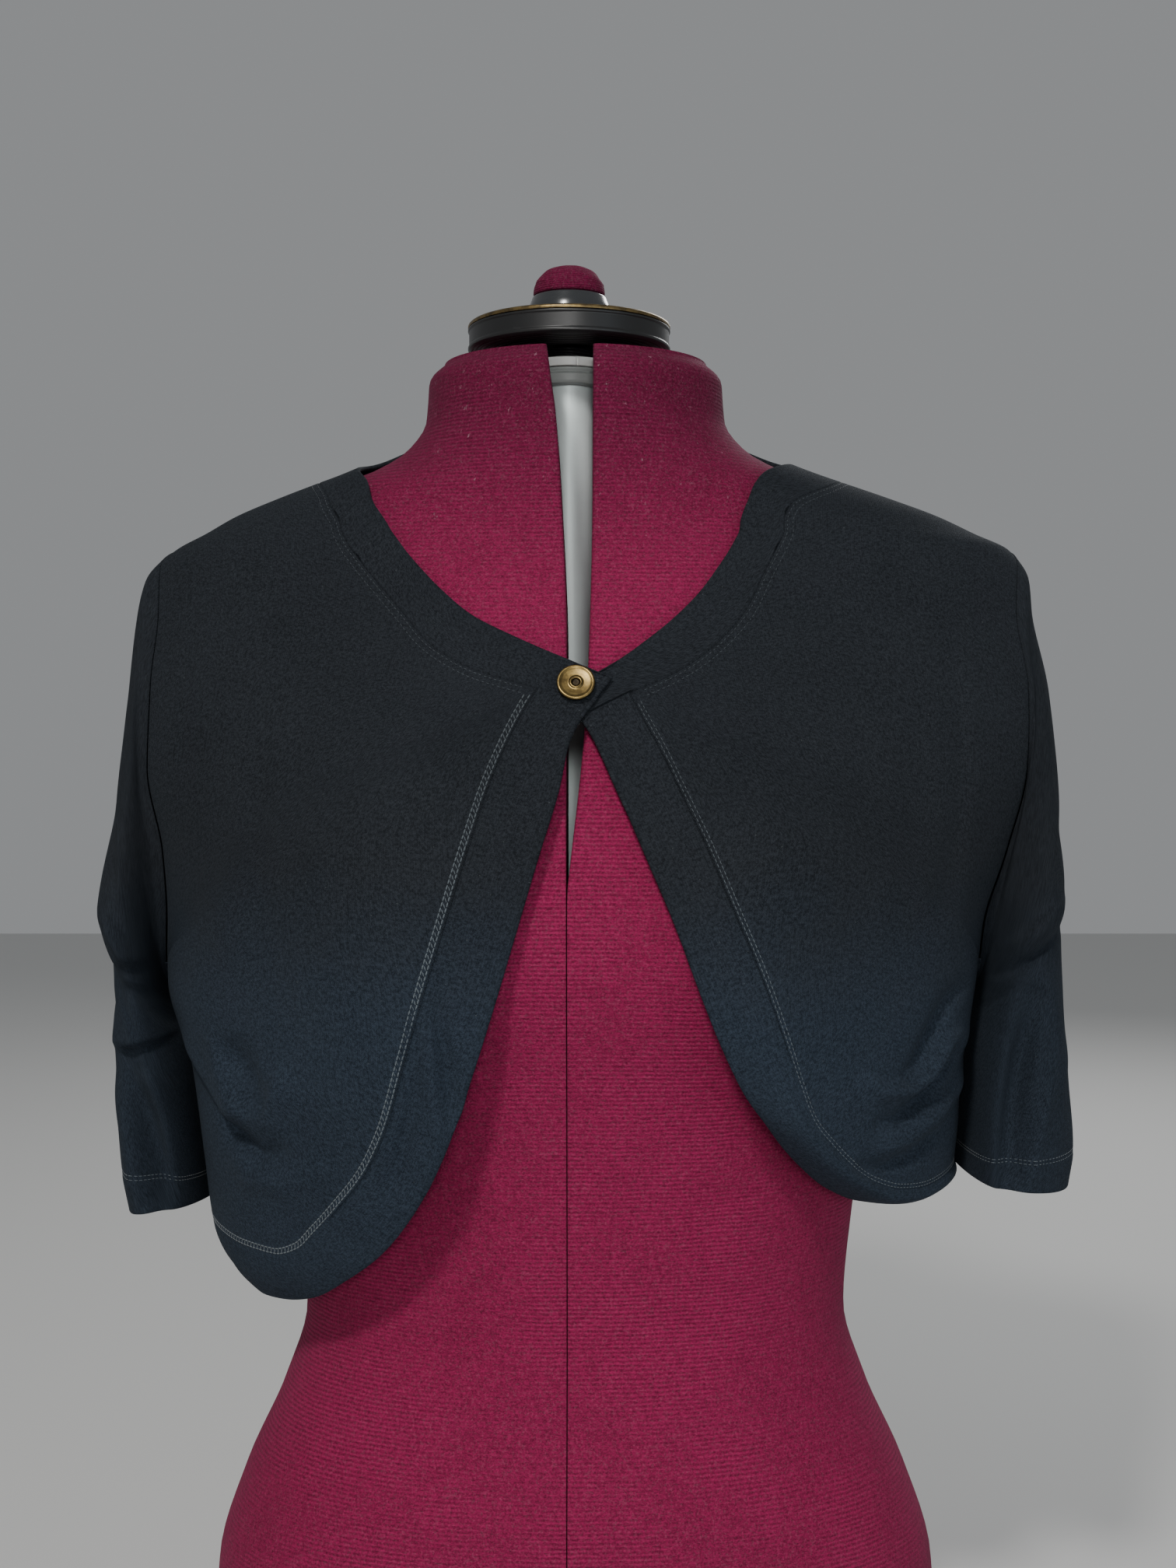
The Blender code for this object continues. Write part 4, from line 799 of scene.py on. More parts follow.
# Sleeve creases, on the front or the back half, by place (x, z)
SLEEVE_CREASES = [
    (1, -7.0, 2.0, 6.0, [(-216, 320), (-202, 320.5), (-190, 322.5), (-166, 328)]),
    (1, -12.0, 5.0, 6.0, [(-200, 322), (-196, 306), (-190, 290), (-185, 268), (-181, 240)]),
    (1, 3.6, 4.0, 3.5, [(-212, 318), (-210, 304), (-203, 288), (-198, 266), (-195, 246)]),
    (1, -4.0, 2.2, 4.0, [(-208, 358), (-200, 357.5), (-188, 358.5), (-174, 361)]),
    (1, 3.4, 5.0, 3.0, [(-224, 388), (-210, 376), (-200, 364), (-184, 354)]),
    (1, -6.0, 3.0, 7.0, [(-222, 376), (-212, 362), (-203, 350), (-190, 342)]),
    (1, 1.6, 4.0, 5.0, [(-211, 342), (-208, 320), (-207, 285)]),
    (1, -1.4, 4.0, 5.0, [(-210, 470), (-212, 430), (-209, 400)]),
    (1, 1.2, 4.0, 5.0, [(-204, 480), (-205, 440), (-203, 405)]),
    (1, -9.0, 3.0, 12.0, [(230, 379), (214, 371), (202, 361), (184, 350)]),
    (1, 6.5, 13.0, 3.0, [(230, 391), (214, 383), (202, 373), (186, 362)]),
    (1, -14.0, 6.0, 7.0, [(206, 350), (202, 332), (196, 302), (190, 256)]),
    (1, 4.0, 4.0, 4.0, [(206, 358), (216, 345), (218, 328), (211, 304), (205, 280), (200, 258)]),
    (1, -2.6, 4.0, 5.0, [(216, 352), (218, 334), (212, 312), (204, 290), (200, 268)]),
    (1, 1.8, 5.0, 5.0, [(224, 350), (223, 320), (217, 290), (211, 262)]),
    (1, -1.4, 3.6, 4.0, [(204, 520), (208, 480), (207, 440)]),
    (1, 1.6, 3.0, 4.0, [(210, 512), (213, 470), (214, 430), (218, 400)]),
]


def crease_height(creases, facing, x, z):
    """Height of a list of creases. A crease fades towards both ends of its path."""
    total = np.zeros_like(x)
    for way, height, above, below, path in creases:
        nearest = np.full_like(x, 1e9)
        above_it = np.zeros(x.shape, bool)
        travelled = np.zeros_like(x)
        done = 0.0
        for (x0, z0), (x1, z1) in zip(path, path[1:]):
            run_x = x1 - x0
            run_z = z1 - z0
            length = math.hypot(run_x, run_z)
            share = np.clip(((x - x0) * run_x + (z - z0) * run_z) / length ** 2, 0.0, 1.0)
            off_x = x - x0 - share * run_x
            off_z = z - z0 - share * run_z
            distance = np.hypot(off_x, off_z)
            closer = distance < nearest
            nearest = np.where(closer, distance, nearest)
            above_it = np.where(closer, run_x * off_z > run_z * off_x, above_it)
            travelled = np.where(closer, done + share * length, travelled)
            done += length
        width = np.where(above_it, above, below)
        fade = np.sin(math.pi * np.clip(travelled / done, 0.0, 1.0)) ** 0.7
        shown = facing * way > 0
        total += shown * height * fade * np.exp(-(nearest / width) ** 2)
    return total


def drawn_creases(seed, count, low, high, lean, longest, tallest):
    """Soft creases on a hidden side, drawn at random inside a box of places."""
    dice = np.random.default_rng(seed)
    made = []
    for number in range(count):
        x = dice.uniform(low[0], high[0])
        z = dice.uniform(low[1], high[1])
        length = dice.uniform(0.35, 1.0) * longest
        angle = math.radians(lean + dice.uniform(-16, 16))
        bow = dice.uniform(-0.09, 0.09) * length
        run = np.array([math.cos(angle), math.sin(angle)])
        aside = np.array([-run[1], run[0]])
        points = [np.array([x, z]) + run * length * s + aside * bow * math.sin(math.pi * s)
                  for s in (0.0, 0.25, 0.5, 0.75, 1.0)]
        height = dice.uniform(0.35, 1.0) * tallest * (1 if number % 2 else -1)
        widths = dice.uniform(3.5, 9.0, 2)
        made.append((-1, height, widths[0], widths[1], [tuple(point) for point in points]))
    return made


for creases, seed, count, low, high, lean, longest, tallest in [
        (BODY_CREASES, 11, 7, (-185, 320), (-150, 372), -32, 90, 1.5),
        (BODY_CREASES, 12, 7, (70, 270), (110, 320), 32, 95, 1.5),
        (BODY_CREASES, 13, 12, (-150, 300), (150, 400), 90, 110, 0.9),
        (BODY_CREASES, 14, 6, (-90, 250), (90, 275), 84, 50, 0.8),
        (BODY_CREASES, 15, 5, (-70, 520), (50, 560), 0, 60, 0.5),
        (SLEEVE_CREASES, 21, 5, (-215, 370), (-205, 398), -36, 46, 1.8),
        (SLEEVE_CREASES, 22, 5, (186, 352), (196, 366), 36, 46, 1.8),
        (SLEEVE_CREASES, 23, 4, (-206, 270), (-190, 300), 84, 60, 1.0),
        (SLEEVE_CREASES, 24, 4, (196, 275), (216, 300), 92, 60, 1.0)]:
    creases += drawn_creases(seed, count, low, high, lean, longest, tallest)
print("small creases:", len(BODY_CREASES), "on the body,", len(SLEEVE_CREASES), "on the sleeves")

# %% [markdown]
# ## The cloth's surface
#
# A spot on the cloth is an angle round the body and a height. `cloth_point` turns spots into
# points and adds the folds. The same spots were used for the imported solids, so the fine cloth lies
# where they are, with the small creases added.

# %% Points of the body surface
SEAM = -0.4           # gap between a panel and its band: below 0, the panel runs in under it
SIDE_GAP = 0.03       # gap at a side seam and a shoulder seam
ARMHOLE_GAP = -0.3    # gap between a panel and the armhole's line: it runs in under the sleeve
LAP = 3.0             # height of the buttoned front over the one under it
LAP_START = (-48, 425)   # x and z where the buttoned front starts to rise over the other
LAP_RUN = 34          # distance over which it rises to its full height


def signed_power(value, power):
    """A power that keeps the value's sign."""
    return np.sign(value) * np.abs(value) ** power


def mound_height(mound, x, z):
    """Height of the two bust mounds at a place on the front."""
    spread = np.where(z > mound["z"], mound["above"], mound["below"])
    upright = ((z - mound["z"]) / spread) ** 2
    total = 0.0
    for side in (-1, 1):
        across = ((x - side * mound["x"]) / mound["across"]) ** 2
        total = total + mound["height"] * np.exp(-across - upright)
    return total


def oval_point(angle, z, left, right, front, back, power, mound):
    """Points of a horizontal oval, with the bust mounds on its front."""
    radians = np.radians(angle)
    across = signed_power(np.sin(radians), 2 / power)
    forward = signed_power(np.cos(radians), 2 / power)
    x = across * np.where(across > 0, right, left)
    y = -forward * np.where(forward > 0, front, back)
    y = y - mound_height(mound, x, z) * smooth(forward / 0.4)
    return np.stack([x, y, z + 0.0 * x], axis=-1)


def body_point(angle, z):
    """Points of the plain body surface, without folds."""
    sizes = [BODY.at(name, z) for name in ("left", "right", "front", "back", "power")]
    return oval_point(angle, z, *sizes, MOUND)


def body_slopes(angle, z):
    """How the body surface runs with the angle and with the height."""
    by_angle = (body_point(angle + 0.2, z) - body_point(angle - 0.2, z)) / 0.4
    by_height = (body_point(angle, z + 0.4) - body_point(angle, z - 0.4)) / 0.8
    return by_angle, by_height


def body_normal(angle, z):
    """Outward normals of the plain body surface."""
    return unit(np.cross(*body_slopes(angle, z)))


def side_angle(z, side, facing):
    """Angle just in front of a side seam, or just behind it. Side is -1 for the right."""
    depth = BODY.at("front" if facing > 0 else "back", z)
    share = (SIDE_GAP / 2 / depth) ** (BODY.at("power", z) / 2)
    return side * (90 - facing * np.degrees(np.arcsin(share)))


def angle_at(x, z):
    """Angle of the place on the body's front that lies at x, at most at the side seam."""
    side = np.where(x < 0, -1.0, 1.0)
    half = np.where(x > 0, BODY.at("right", z), BODY.at("left", z))
    share = np.minimum(np.abs(x) / half, 1.0)
    angle = np.degrees(np.arcsin(share ** (BODY.at("power", z) / 2)))
    return side * np.minimum(angle, np.abs(side_angle(z, 1.0, 1)))


def moved(angle, z, step):
    """The spot that lies a small step in space away from another spot on the body surface."""
    by_angle, by_height = body_slopes(angle, z)
    aa = (by_angle * by_angle).sum(-1)
    ah = (by_angle * by_height).sum(-1)
    hh = (by_height * by_height).sum(-1)
    sa = (by_angle * step).sum(-1)
    sh = (by_height * step).sum(-1)
    scale = aa * hh - ah * ah
    return angle + (sa * hh - sh * ah) / scale, z + (sh * aa - sa * ah) / scale


def cloth_point(angle, z, right_front=False, fine=True):
    """Outer points of the cloth at some spots, and their normals. Fine adds the small creases."""
    point = body_point(angle, z)
    normal = body_normal(angle, z)
    facing = np.cos(np.radians(angle))
    x = point[..., 0]
    rise = fold_height("body", facing, x, z)
    if fine:
        rise = rise + crease_height(BODY_CREASES, facing, x, z)
    rise = rise * smooth(np.abs(facing) / 0.35)
    if right_front:
        beyond = smooth((x - LAP_START[0]) / LAP_RUN)
        rise = rise + LAP * beyond * smooth((z - LAP_START[1]) / LAP_RUN)
    return point + normal * rise[..., None], normal


print("body surface ready")

# %% [markdown]
# ## A shell of cloth
#
# Every cloth piece is a thin closed shell: an outer grid, an inner grid, and a half-round rim that
# turns the edge over. Solidify could give the wall, but a folded band needs a truly round edge and
# clean cloth coordinates for the knit, so the shell is built directly. The coordinates are lengths
# along the cloth, in metres, which keeps every stitch the same size.

# %% Shells
RIM_STEPS = 4         # faces that turn a shell's edge over
JERSEY = 1.1          # one layer of jersey, in millimetres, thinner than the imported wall
BAND = 2.2            # a folded band, two layers


def grid_faces(rows, columns, closed):
    """Faces of four between the points of a grid. A closed grid joins its last column to its first."""
    spans = columns if closed else columns - 1
    numbers = np.arange(rows * columns).reshape(rows, columns)
    here = numbers[:, :spans]
    after = np.roll(numbers, -1, axis=1)[:, :spans]
    return np.stack([here[:-1], after[:-1], after[1:], here[1:]], axis=-1).reshape(-1, 4)


def all_round(points, closed):
    """The grid, with its first column repeated at the end if it is closed."""
    return np.concatenate([points, points[:, :1]], axis=1) if closed else points


def grid_normals(points, closed, outward):
    """Normals of a grid of points, turned to the side that outward shows."""
    down = np.gradient(points, axis=0)
    if closed:
        across = np.roll(points, -1, axis=1) - np.roll(points, 1, axis=1)
    else:
        across = np.gradient(points, axis=1)
    normals = unit(np.cross(across, down))
    wrong = (normals * outward).sum() < 0
    return -normals if wrong else normals


def cloth_lengths(points, closed):
    """Lengths along the rows and along the columns of a grid, in metres."""
    around = all_round(points, closed)
    across = np.pad(step_lengths(around, 1).cumsum(axis=1), ((0, 0), (1, 0)))
    along = np.pad(step_lengths(around, 0).cumsum(axis=0), ((1, 0), (0, 0)))
    along = along * 0.5 + along.mean(axis=1, keepdims=True) * 0.5
    return across * MM, along * MM


def edge_loops(rows, columns, closed):
    """The open edges of a grid, as row and column numbers, with the spot just inside each."""
    if closed:
        ring = [(row, column) for row in (0, rows - 1) for column in range(columns)]
        loops = [ring[:columns], ring[columns:]]
        return [(loop, [(1 if r == 0 else rows - 2, c) for r, c in loop]) for loop in loops]
    loop = [(0, c) for c in range(columns)]
    loop += [(r, columns - 1) for r in range(1, rows)]
    loop += [(rows - 1, c) for c in range(columns - 2, -1, -1)]
    loop += [(r, 0) for r in range(rows - 2, 0, -1)]
    inside = [(min(max(r, 1), rows - 2), min(max(c, 1), columns - 2)) for r, c in loop]
    return [(loop, inside)]


def shell(name, points, outward, thickness, look, closed=False):
    """A closed cloth shell whose outer face is the grid of points."""
    rows, columns = points.shape[:2]
    normals = grid_normals(points, closed, outward)
    radius = thickness / 2
    middle = points - normals * radius
    outer = points.copy()
    inner = points - normals * thickness
    count = rows * columns
    numbers = np.arange(count).reshape(rows, columns)
    rim_points = []
    rim_spots = []
    quads = []
    start = 2 * count
    for loop, inside in edge_loops(rows, columns, closed):
        at = tuple(np.array(loop).T)
        near = tuple(np.array(inside).T)
        away = middle[at] - middle[near]
        away = unit(away - normals[at] * (away * normals[at]).sum(-1, keepdims=True))
        centre = middle[at] - away * radius
        outer[at] = centre + normals[at] * radius
        inner[at] = centre - normals[at] * radius
        chains = [numbers[at]]
        for step in range(1, RIM_STEPS):
            turn = math.pi / 2 - math.pi * step / RIM_STEPS
            beyond = away * radius * math.cos(turn)
            rim_points.append(centre + beyond + normals[at] * radius * math.sin(turn))
            rim_spots += loop
            chains.append(np.arange(start, start + len(loop)))
            start += len(loop)
        chains.append(numbers[at] + count)
        for first, second in zip(chains, chains[1:]):
            quads.append(np.stack([first, np.roll(first, -1), np.roll(second, -1), second], axis=-1))
    wall = grid_faces(rows, columns, closed)
    quads += [wall, wall[:, ::-1] + count]
    all_points = np.concatenate([outer.reshape(-1, 3), inner.reshape(-1, 3)] + rim_points)
    across, along = cloth_lengths(points, closed)
    spots = np.array(rim_spots)
    flat = np.stack([across[:, :columns], along[:, :columns]], axis=-1)
    flat = np.concatenate([flat.reshape(-1, 2), flat.reshape(-1, 2), flat[spots[:, 0], spots[:, 1]]])
    faces = np.concatenate(quads)
    data = mesh_from(name, place(all_points), faces, look)
    corners = flat[faces]
    girth = across[:, -1].mean()
    if closed:
        first_side = corners[..., 0] < 0.25 * girth
        crossing = corners[..., 0].max(axis=1) - corners[..., 0].min(axis=1) > 0.5 * girth
        corners[..., 0] += np.where(first_side & crossing[:, None], girth, 0.0)
    layer = data.uv_layers.new(name="UVMap")
    layer.data.foreach_set("uv", corners.reshape(-1, 2).astype(np.float32).ravel())
    turned_out(data)
    return link(name, data), points, normals


def mesh_from(name, points, faces, look):
    """A smooth mesh of points in the frame and faces of four."""
    data = bpy.data.meshes.new(name)
    data.from_pydata(np.asarray(points).tolist(), [], [list(face) for face in faces])
    data.materials.append(look)
    data.shade_smooth()
    return data


def turned_out(data, merge=0.0):
    """Join points that are closer than merge, and turn every face of a closed mesh outwards."""
    mesh = bmesh.new()
    mesh.from_mesh(data)
    if merge:
        bmesh.ops.remove_doubles(mesh, verts=mesh.verts, dist=merge)
    bmesh.ops.recalc_face_normals(mesh, faces=mesh.faces)
    mesh.to_mesh(data)
    mesh.free()


def link(name, data):
    """An object at the origin for a finished mesh or lamp."""
    made = bpy.data.objects.new(name, data)
    bpy.context.scene.collection.objects.link(made)
    return made


print("shell builder ready")

# %% [markdown]
# ## The panels
#
# Back and fronts are grids of spots between four edges: the side seam with its armhole, the
# neckline or front seam, the hem and the shoulder. Both pieces at a seam read the same table, so
# they meet along their whole length. A simulation was not used: the photograph fixes these folds,
# and a drape from a flat cut would put them somewhere else.

# %% Edges of the panels
FINE = 8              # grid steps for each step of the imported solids
SEAM_ROWS = 14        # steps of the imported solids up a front's front edge
ARM_STEPS = 14        # the same up an armhole
HEM_COLUMNS = 12      # the same across a front
BACK_COLUMNS = 24     # the same across the back
ARM_TOP = 549.0
ARM_BOTTOM = 349.0
ARM_DEPTH = 44.0      # half the armhole's width from front to back


def band_spots(band, key):
    """Seam spots and edge spots of a front band at some keys of its table."""
    seam_z = band.at("seam_z", key)
    edge_z = band.at("edge_z", key)
    seam = (angle_at(band.at("seam_x", key), seam_z), seam_z)
    edge = (angle_at(band.at("edge_x", key), edge_z), edge_z)
    return seam, edge


def neck_seam(key):
    """Spots of the neckline's seam at some keys of the neckband's table."""
    return NECKBAND.at("seam_angle", key), NECKBAND.at("seam_z", key)


def beside(seam_at, key, sign):
    """Spots beside a seam, one seam gap away from it. Sign picks the side."""
    here = seam_at(key)
    run = body_point(*seam_at(key + 0.05)) - body_point(*seam_at(key - 0.05))
    across = unit(np.cross(body_normal(*here), run))
    return moved(*here, across * (sign * SEAM))


def armhole_spot(side, turn, grow):
    """Spots on an armhole. Turn is 0 at the top, 180 at the bottom, and grows through the front."""
    centre = (ARM_TOP + ARM_BOTTOM) / 2
    height = (ARM_TOP - ARM_BOTTOM) / 2 + grow
    z = centre + height * np.cos(np.radians(turn))
    depth = (ARM_DEPTH + grow) * np.sin(np.radians(turn))
    reach = np.where(depth > 0, BODY.at("front", z), BODY.at("back", z))
    share = np.minimum(np.abs(depth) / reach, 1.0) ** (BODY.at("power", z) / 2)
    return side * (90 - np.sign(depth) * np.degrees(np.arcsin(share))), z


def side_column(side, facing, hem_z):
    """Spots up a side seam and an armhole, from the hem to the shoulder tip."""
    low_rows = (SEAM_ROWS + RIGHT_SHOULDER - RIGHT_CORNER - ARM_STEPS) * FINE
    low_z = np.linspace(hem_z + SEAM, ARM_BOTTOM - ARMHOLE_GAP, low_rows + 1)
    share = np.arange(1, ARM_STEPS * FINE + 1) / (ARM_STEPS * FINE)
    arm_angle, arm_z = armhole_spot(side, facing * (180 - 180 * share), ARMHOLE_GAP)
    arm_angle[-1] = side_angle(arm_z[-1], side, facing)
    angle = np.concatenate([side_angle(low_z, side, facing), arm_angle])
    return np.stack([angle, np.concatenate([low_z, arm_z])], axis=-1)


print("panel edges ready")

# %% Fronts
def build_front(name, side, band, corner, shoulder):
    """One front, from the side seam and armhole to the front band and neckline."""
    outside = side_column(side, 1, band.at("seam_z", band.count - 1))
    round_trip = 0 if side < 0 else 360

    def seam_at(key):
        return band_spots(band, key)[0]

    def neck_at(key):
        angle, z = neck_seam(key)
        return angle + round_trip, z

    front_keys = np.linspace(band.count - 4, 0, SEAM_ROWS * FINE + 1)[:-1]
    neck_keys = np.linspace(corner, shoulder, abs(shoulder - corner) * FINE + 1)[1:-1]
    top_z = neck_seam(shoulder)[1] - SEAM
    by_front = np.array(beside(seam_at, np.array([0.0]), side))[:, 0]
    by_neck = np.array(beside(neck_at, np.array([float(corner)]), 1))[:, 0]
    front_corner = by_front + by_neck - np.array(seam_at(np.array([0.0])))[:, 0]
    inside = np.concatenate([
        np.stack(beside(seam_at, front_keys, side), axis=-1),
        [front_corner],
        np.stack(beside(neck_at, neck_keys, 1), axis=-1),
        [[side_angle(top_z, side, 1), top_z]]])
    hem_keys = np.linspace(band.count - 1, band.count - 4, HEM_COLUMNS * FINE + 1)
    lower = np.stack(beside(seam_at, hem_keys, side), axis=-1)
    lower[0] = outside[0]
    share = np.linspace(0, 1, HEM_COLUMNS * FINE + 1)[None, :, None]
    pull = (1 - np.linspace(0, 1, len(outside))) ** 6
    straight = blend(outside[:1, None], inside[:1, None], share)
    spots = blend(outside[:, None], inside[:, None], share)
    spots = spots + pull[:, None, None] * (lower[None] - straight)
    points, outward = cloth_point(spots[..., 0], spots[..., 1], side < 0)
    piece = shell(name, points, outward, JERSEY, cloth_look)
    print(name, "grid", points.shape[:2])
    return piece


front_right = build_front("front_right_cloth", -1, RIGHT_BAND, RIGHT_CORNER, RIGHT_SHOULDER)
front_left = build_front("front_left_cloth", 1, LEFT_BAND, LEFT_CORNER, LEFT_SHOULDER)

# %% Back
def build_back():
    """The back, one panel from side seam to side seam, up to the back neckline."""
    first = side_column(-1, -1, HEM_BAND.at("seam_z", 0))
    final = side_column(1, -1, HEM_BAND.at("seam_z", 4)) - np.array([360.0, 0.0])
    shoulder_steps = 4 * FINE
    neck_steps = (BACK_COLUMNS - 8) * FINE
    right_z = np.linspace(first[-1, 1], neck_seam(RIGHT_SHOULDER)[1] - SEAM, shoulder_steps + 1)
    left_z = np.linspace(neck_seam(LEFT_SHOULDER)[1] - SEAM, final[-1, 1], shoulder_steps + 1)
    neck_keys = np.linspace(RIGHT_SHOULDER, LEFT_SHOULDER, neck_steps + 1)[1:-1]
    top = np.concatenate([
        np.stack([side_angle(right_z, -1, -1), right_z], axis=-1),
        np.stack(beside(neck_seam, neck_keys, 1), axis=-1),
        np.stack([side_angle(left_z, 1, -1) - 360, left_z], axis=-1)])
    share = np.linspace(0, 1, BACK_COLUMNS * FINE + 1)
    bottom = np.stack([HEM_BAND.at("angle", 4 * share), HEM_BAND.at("seam_z", 4 * share) + SEAM], axis=-1)
    bottom[0] = first[0]
    bottom[-1] = final[0]
    share = share[None, :, None]
    height = np.linspace(0, 1, len(first))[:, None, None]
    spots = blend(first[:, None], final[:, None], share)
    spots = spots + height ** 3 * (top[None] - blend(top[0], top[-1], share))
    spots = spots + (1 - height) ** 6 * (bottom[None] - blend(bottom[0], bottom[-1], share))
    points, outward = cloth_point(spots[..., 0], spots[..., 1])
    print("back grid", points.shape[:2])
    return shell("back_cloth", points, outward, JERSEY, cloth_look)


back = build_back()

# %% [markdown]
# ## The folded bands
#
# Each band is one strip of jersey folded along its length. Both layers show only as a thicker
# wall with a round fold, so a band is a shell like a panel, twice as thick. It follows its panel at
# the seam, and its free edge may roll in under the hem or stand up round the neck. The front bands
# and the hem band also have a narrow strip of seam allowance, hidden behind the panel.

# %% Bands
BAND_STEPS = 16       # grid steps across a band
ALLOWANCE = 0.4       # width of the hidden strip of seam allowance
ROLLED_ALLOWANCE = 2.8   # how much wider the strip is where the edge rolls in under the hem
UNDER_NECKBAND = (3.6, 2.4, 1.2)   # how far a front band's added rows lie up under the neckband


def band_points(seam, edge, tuck, right_front, lift):
    """Points across a band, from its seam on the panel's own surface to its edge."""
    start, start_normal = cloth_point(*seam, right_front, False)
    middle_spot = [(a + b) / 2 for a, b in zip(seam, edge)]
    middle, middle_normal = cloth_point(*middle_spot, right_front, False)
    end, end_normal = cloth_point(*edge, right_front, False)
    end = end - end_normal * tuck[:, None]
    middle = middle + middle_normal * lift[:, None]
    t = np.linspace(0, 1, BAND_STEPS + 1)[None, :, None]
    straight = blend(start[:, None], end[:, None], t)
    points = straight + (middle - (start + end) / 2)[:, None] * (4 * t * (1 - t))
    outward = unit(blend(start_normal[:, None], end_normal[:, None], t))
    facing = -outward[..., 1]
    rise = crease_height(BODY_CREASES, facing, points[..., 0], points[..., 2])
    rise = rise * smooth(np.abs(facing) / 0.4)
    at_seam = cloth_point(*seam, right_front)[0] - start
    return points + blend(at_seam[:, None], outward * rise[..., None], smooth(t / 0.35)), outward


def with_allowance(points, outward, tuck):
    """The band with a strip of seam allowance that lies behind the panel it is sewn to."""
    share = smooth(tuck / 8.0)[:, None]
    away = unit(points[:, 0] - points[:, 1])
    strip = points[:, 0] + away * (ALLOWANCE + ROLLED_ALLOWANCE * share)
    strip = strip - outward[:, 0] * (0.1 + 1.1 * share)
    points = np.concatenate([strip[:, None], points], axis=1)
    return points, np.concatenate([outward[:, :1], outward], axis=1)


def ripple(points, outward, amount, seed):
    """Soft unevenness along a band, none at its seam and most beyond its middle."""
    dice = np.random.default_rng(seed)
    length = np.concatenate([[0.0], step_lengths(points[:, 0]).cumsum()])
    rise = np.zeros_like(length)
    for wave in dice.uniform(13, 60, 7):
        rise += np.sin(2 * math.pi * length / wave + dice.uniform(0, 6.3)) * math.sqrt(wave / 60)
    fade = np.sin(np.linspace(0, math.pi * 0.8, points.shape[1])) ** 1.5
    ends = np.sin(math.pi * np.linspace(0, 1, len(length))) ** 0.5
    height = amount * rise[:, None] * fade[None] * ends[:, None] / 2.5
    return points + unit(outward) * height[..., None]


def build_front_band(name, side, band, seed):
    """A front band, from the button down the front and along the hem to the side seam."""
    keys = np.concatenate([np.linspace(0, band.count - 4, SEAM_ROWS * FINE + 1),
                           np.linspace(band.count - 4, band.count - 1, HEM_COLUMNS * FINE + 1)[1:]])
    seam, edge = band_spots(band, keys)
    points, outward = band_points(seam, edge, band.at("tuck", keys), side < 0, 0.0 * keys)
    points, outward = with_allowance(points, outward, band.at("tuck", keys))
    back_step = unit(points[0] - points[1])
    under = np.array(UNDER_NECKBAND)[:, None, None]
    hidden = points[0] + back_step * under - outward[0] * (0.1 + 0.12 * under)
    points = np.concatenate([hidden, points])
    outward = np.concatenate([np.repeat(outward[:1], len(under), axis=0), outward])
    print(name, "grid", points.shape[:2])
    return shell(name, ripple(points, outward, 0.35, seed), outward, BAND, cloth_look)


def build_hem_band():
    """The hem band of the back, from side seam to side seam."""
    keys = np.linspace(0, 4, BACK_COLUMNS * FINE + 1)
    seam_z = HEM_BAND.at("seam_z", keys)
    edge_z = HEM_BAND.at("edge_z", keys)
    seam_angle = HEM_BAND.at("angle", keys)
    edge_angle = seam_angle.copy()
    for column, side, whole in ((0, -1, 0), (-1, 1, -360)):
        seam_angle[column] = side_angle(seam_z[column], side, -1) + whole
        edge_angle[column] = side_angle(edge_z[column], side, -1) + whole
    points, outward = band_points((seam_angle, seam_z), (edge_angle, edge_z),
                                  HEM_BAND.at("tuck", keys), False, 0.0 * keys)
    points, outward = with_allowance(points, outward, HEM_BAND.at("tuck", keys))
    return shell("hem_band_cloth", ripple(points, outward, 0.5, 5), outward, BAND, cloth_look)


def build_neckband():
    """The neckband, which lies on the chest and stands up round the back of the neck."""
    keys = np.linspace(0, NECKBAND.count - 1, (NECKBAND.count - 1) * FINE + 1)
    edge = (NECKBAND.at("edge_angle", keys), NECKBAND.at("edge_z", keys))
    stand = NECKBAND.at("stand", keys)
    over = keys <= RIGHT_SHOULDER
    low, low_out = band_points(neck_seam(keys), edge, -stand, False, stand / 3)
    high, high_out = band_points(neck_seam(keys), edge, -stand, True, stand / 3)
    points = np.where(over[:, None, None], high, low)
    outward = np.where(over[:, None, None], high_out, low_out)
    return shell("neckband_cloth", ripple(points, outward, 0.25, 6), outward, BAND, cloth_look)


front_band_right = build_front_band("front_band_right_cloth", -1, RIGHT_BAND, 3)
front_band_left = build_front_band("front_band_left_cloth", 1, LEFT_BAND, 4)
hem_band = build_hem_band()
neckband = build_neckband()
print("bands ready")

# %% [markdown]
# ## The sleeves
#
# A set-in sleeve is one piece joined under the arm. Here it hangs empty, so it is flattened and
# breaks into folds where it turns down at the armpit. It starts on the armhole's own curve and
# leaves it smoothly. Folds and creases push its front and its back forwards or backwards, and soft
# breaks on its outer half push out of the cloth's own face, so they show from the side too.

# %% Sleeves
SLEEVE_STEP = 0.45    # how far the sleeve head stands out of the armhole
ARM_CLEARANCE = 1.5   # gap between the side of the body and the sleeve beside it
AROUND = 168          # grid steps round a sleeve
SLEEVE_ROWS = 150     # grid steps along it
ROW_SPACING = 1.12    # power that crowds the rows a little towards the armhole
CUFF_TURN_UP = 0.945  # where the turned-up hem starts, as a share of the sleeve
CUFF_STEP = 0.004     # share of the sleeve over which the turned-up hem rises
BREAKS = 13           # soft breaks on the outer half of a sleeve


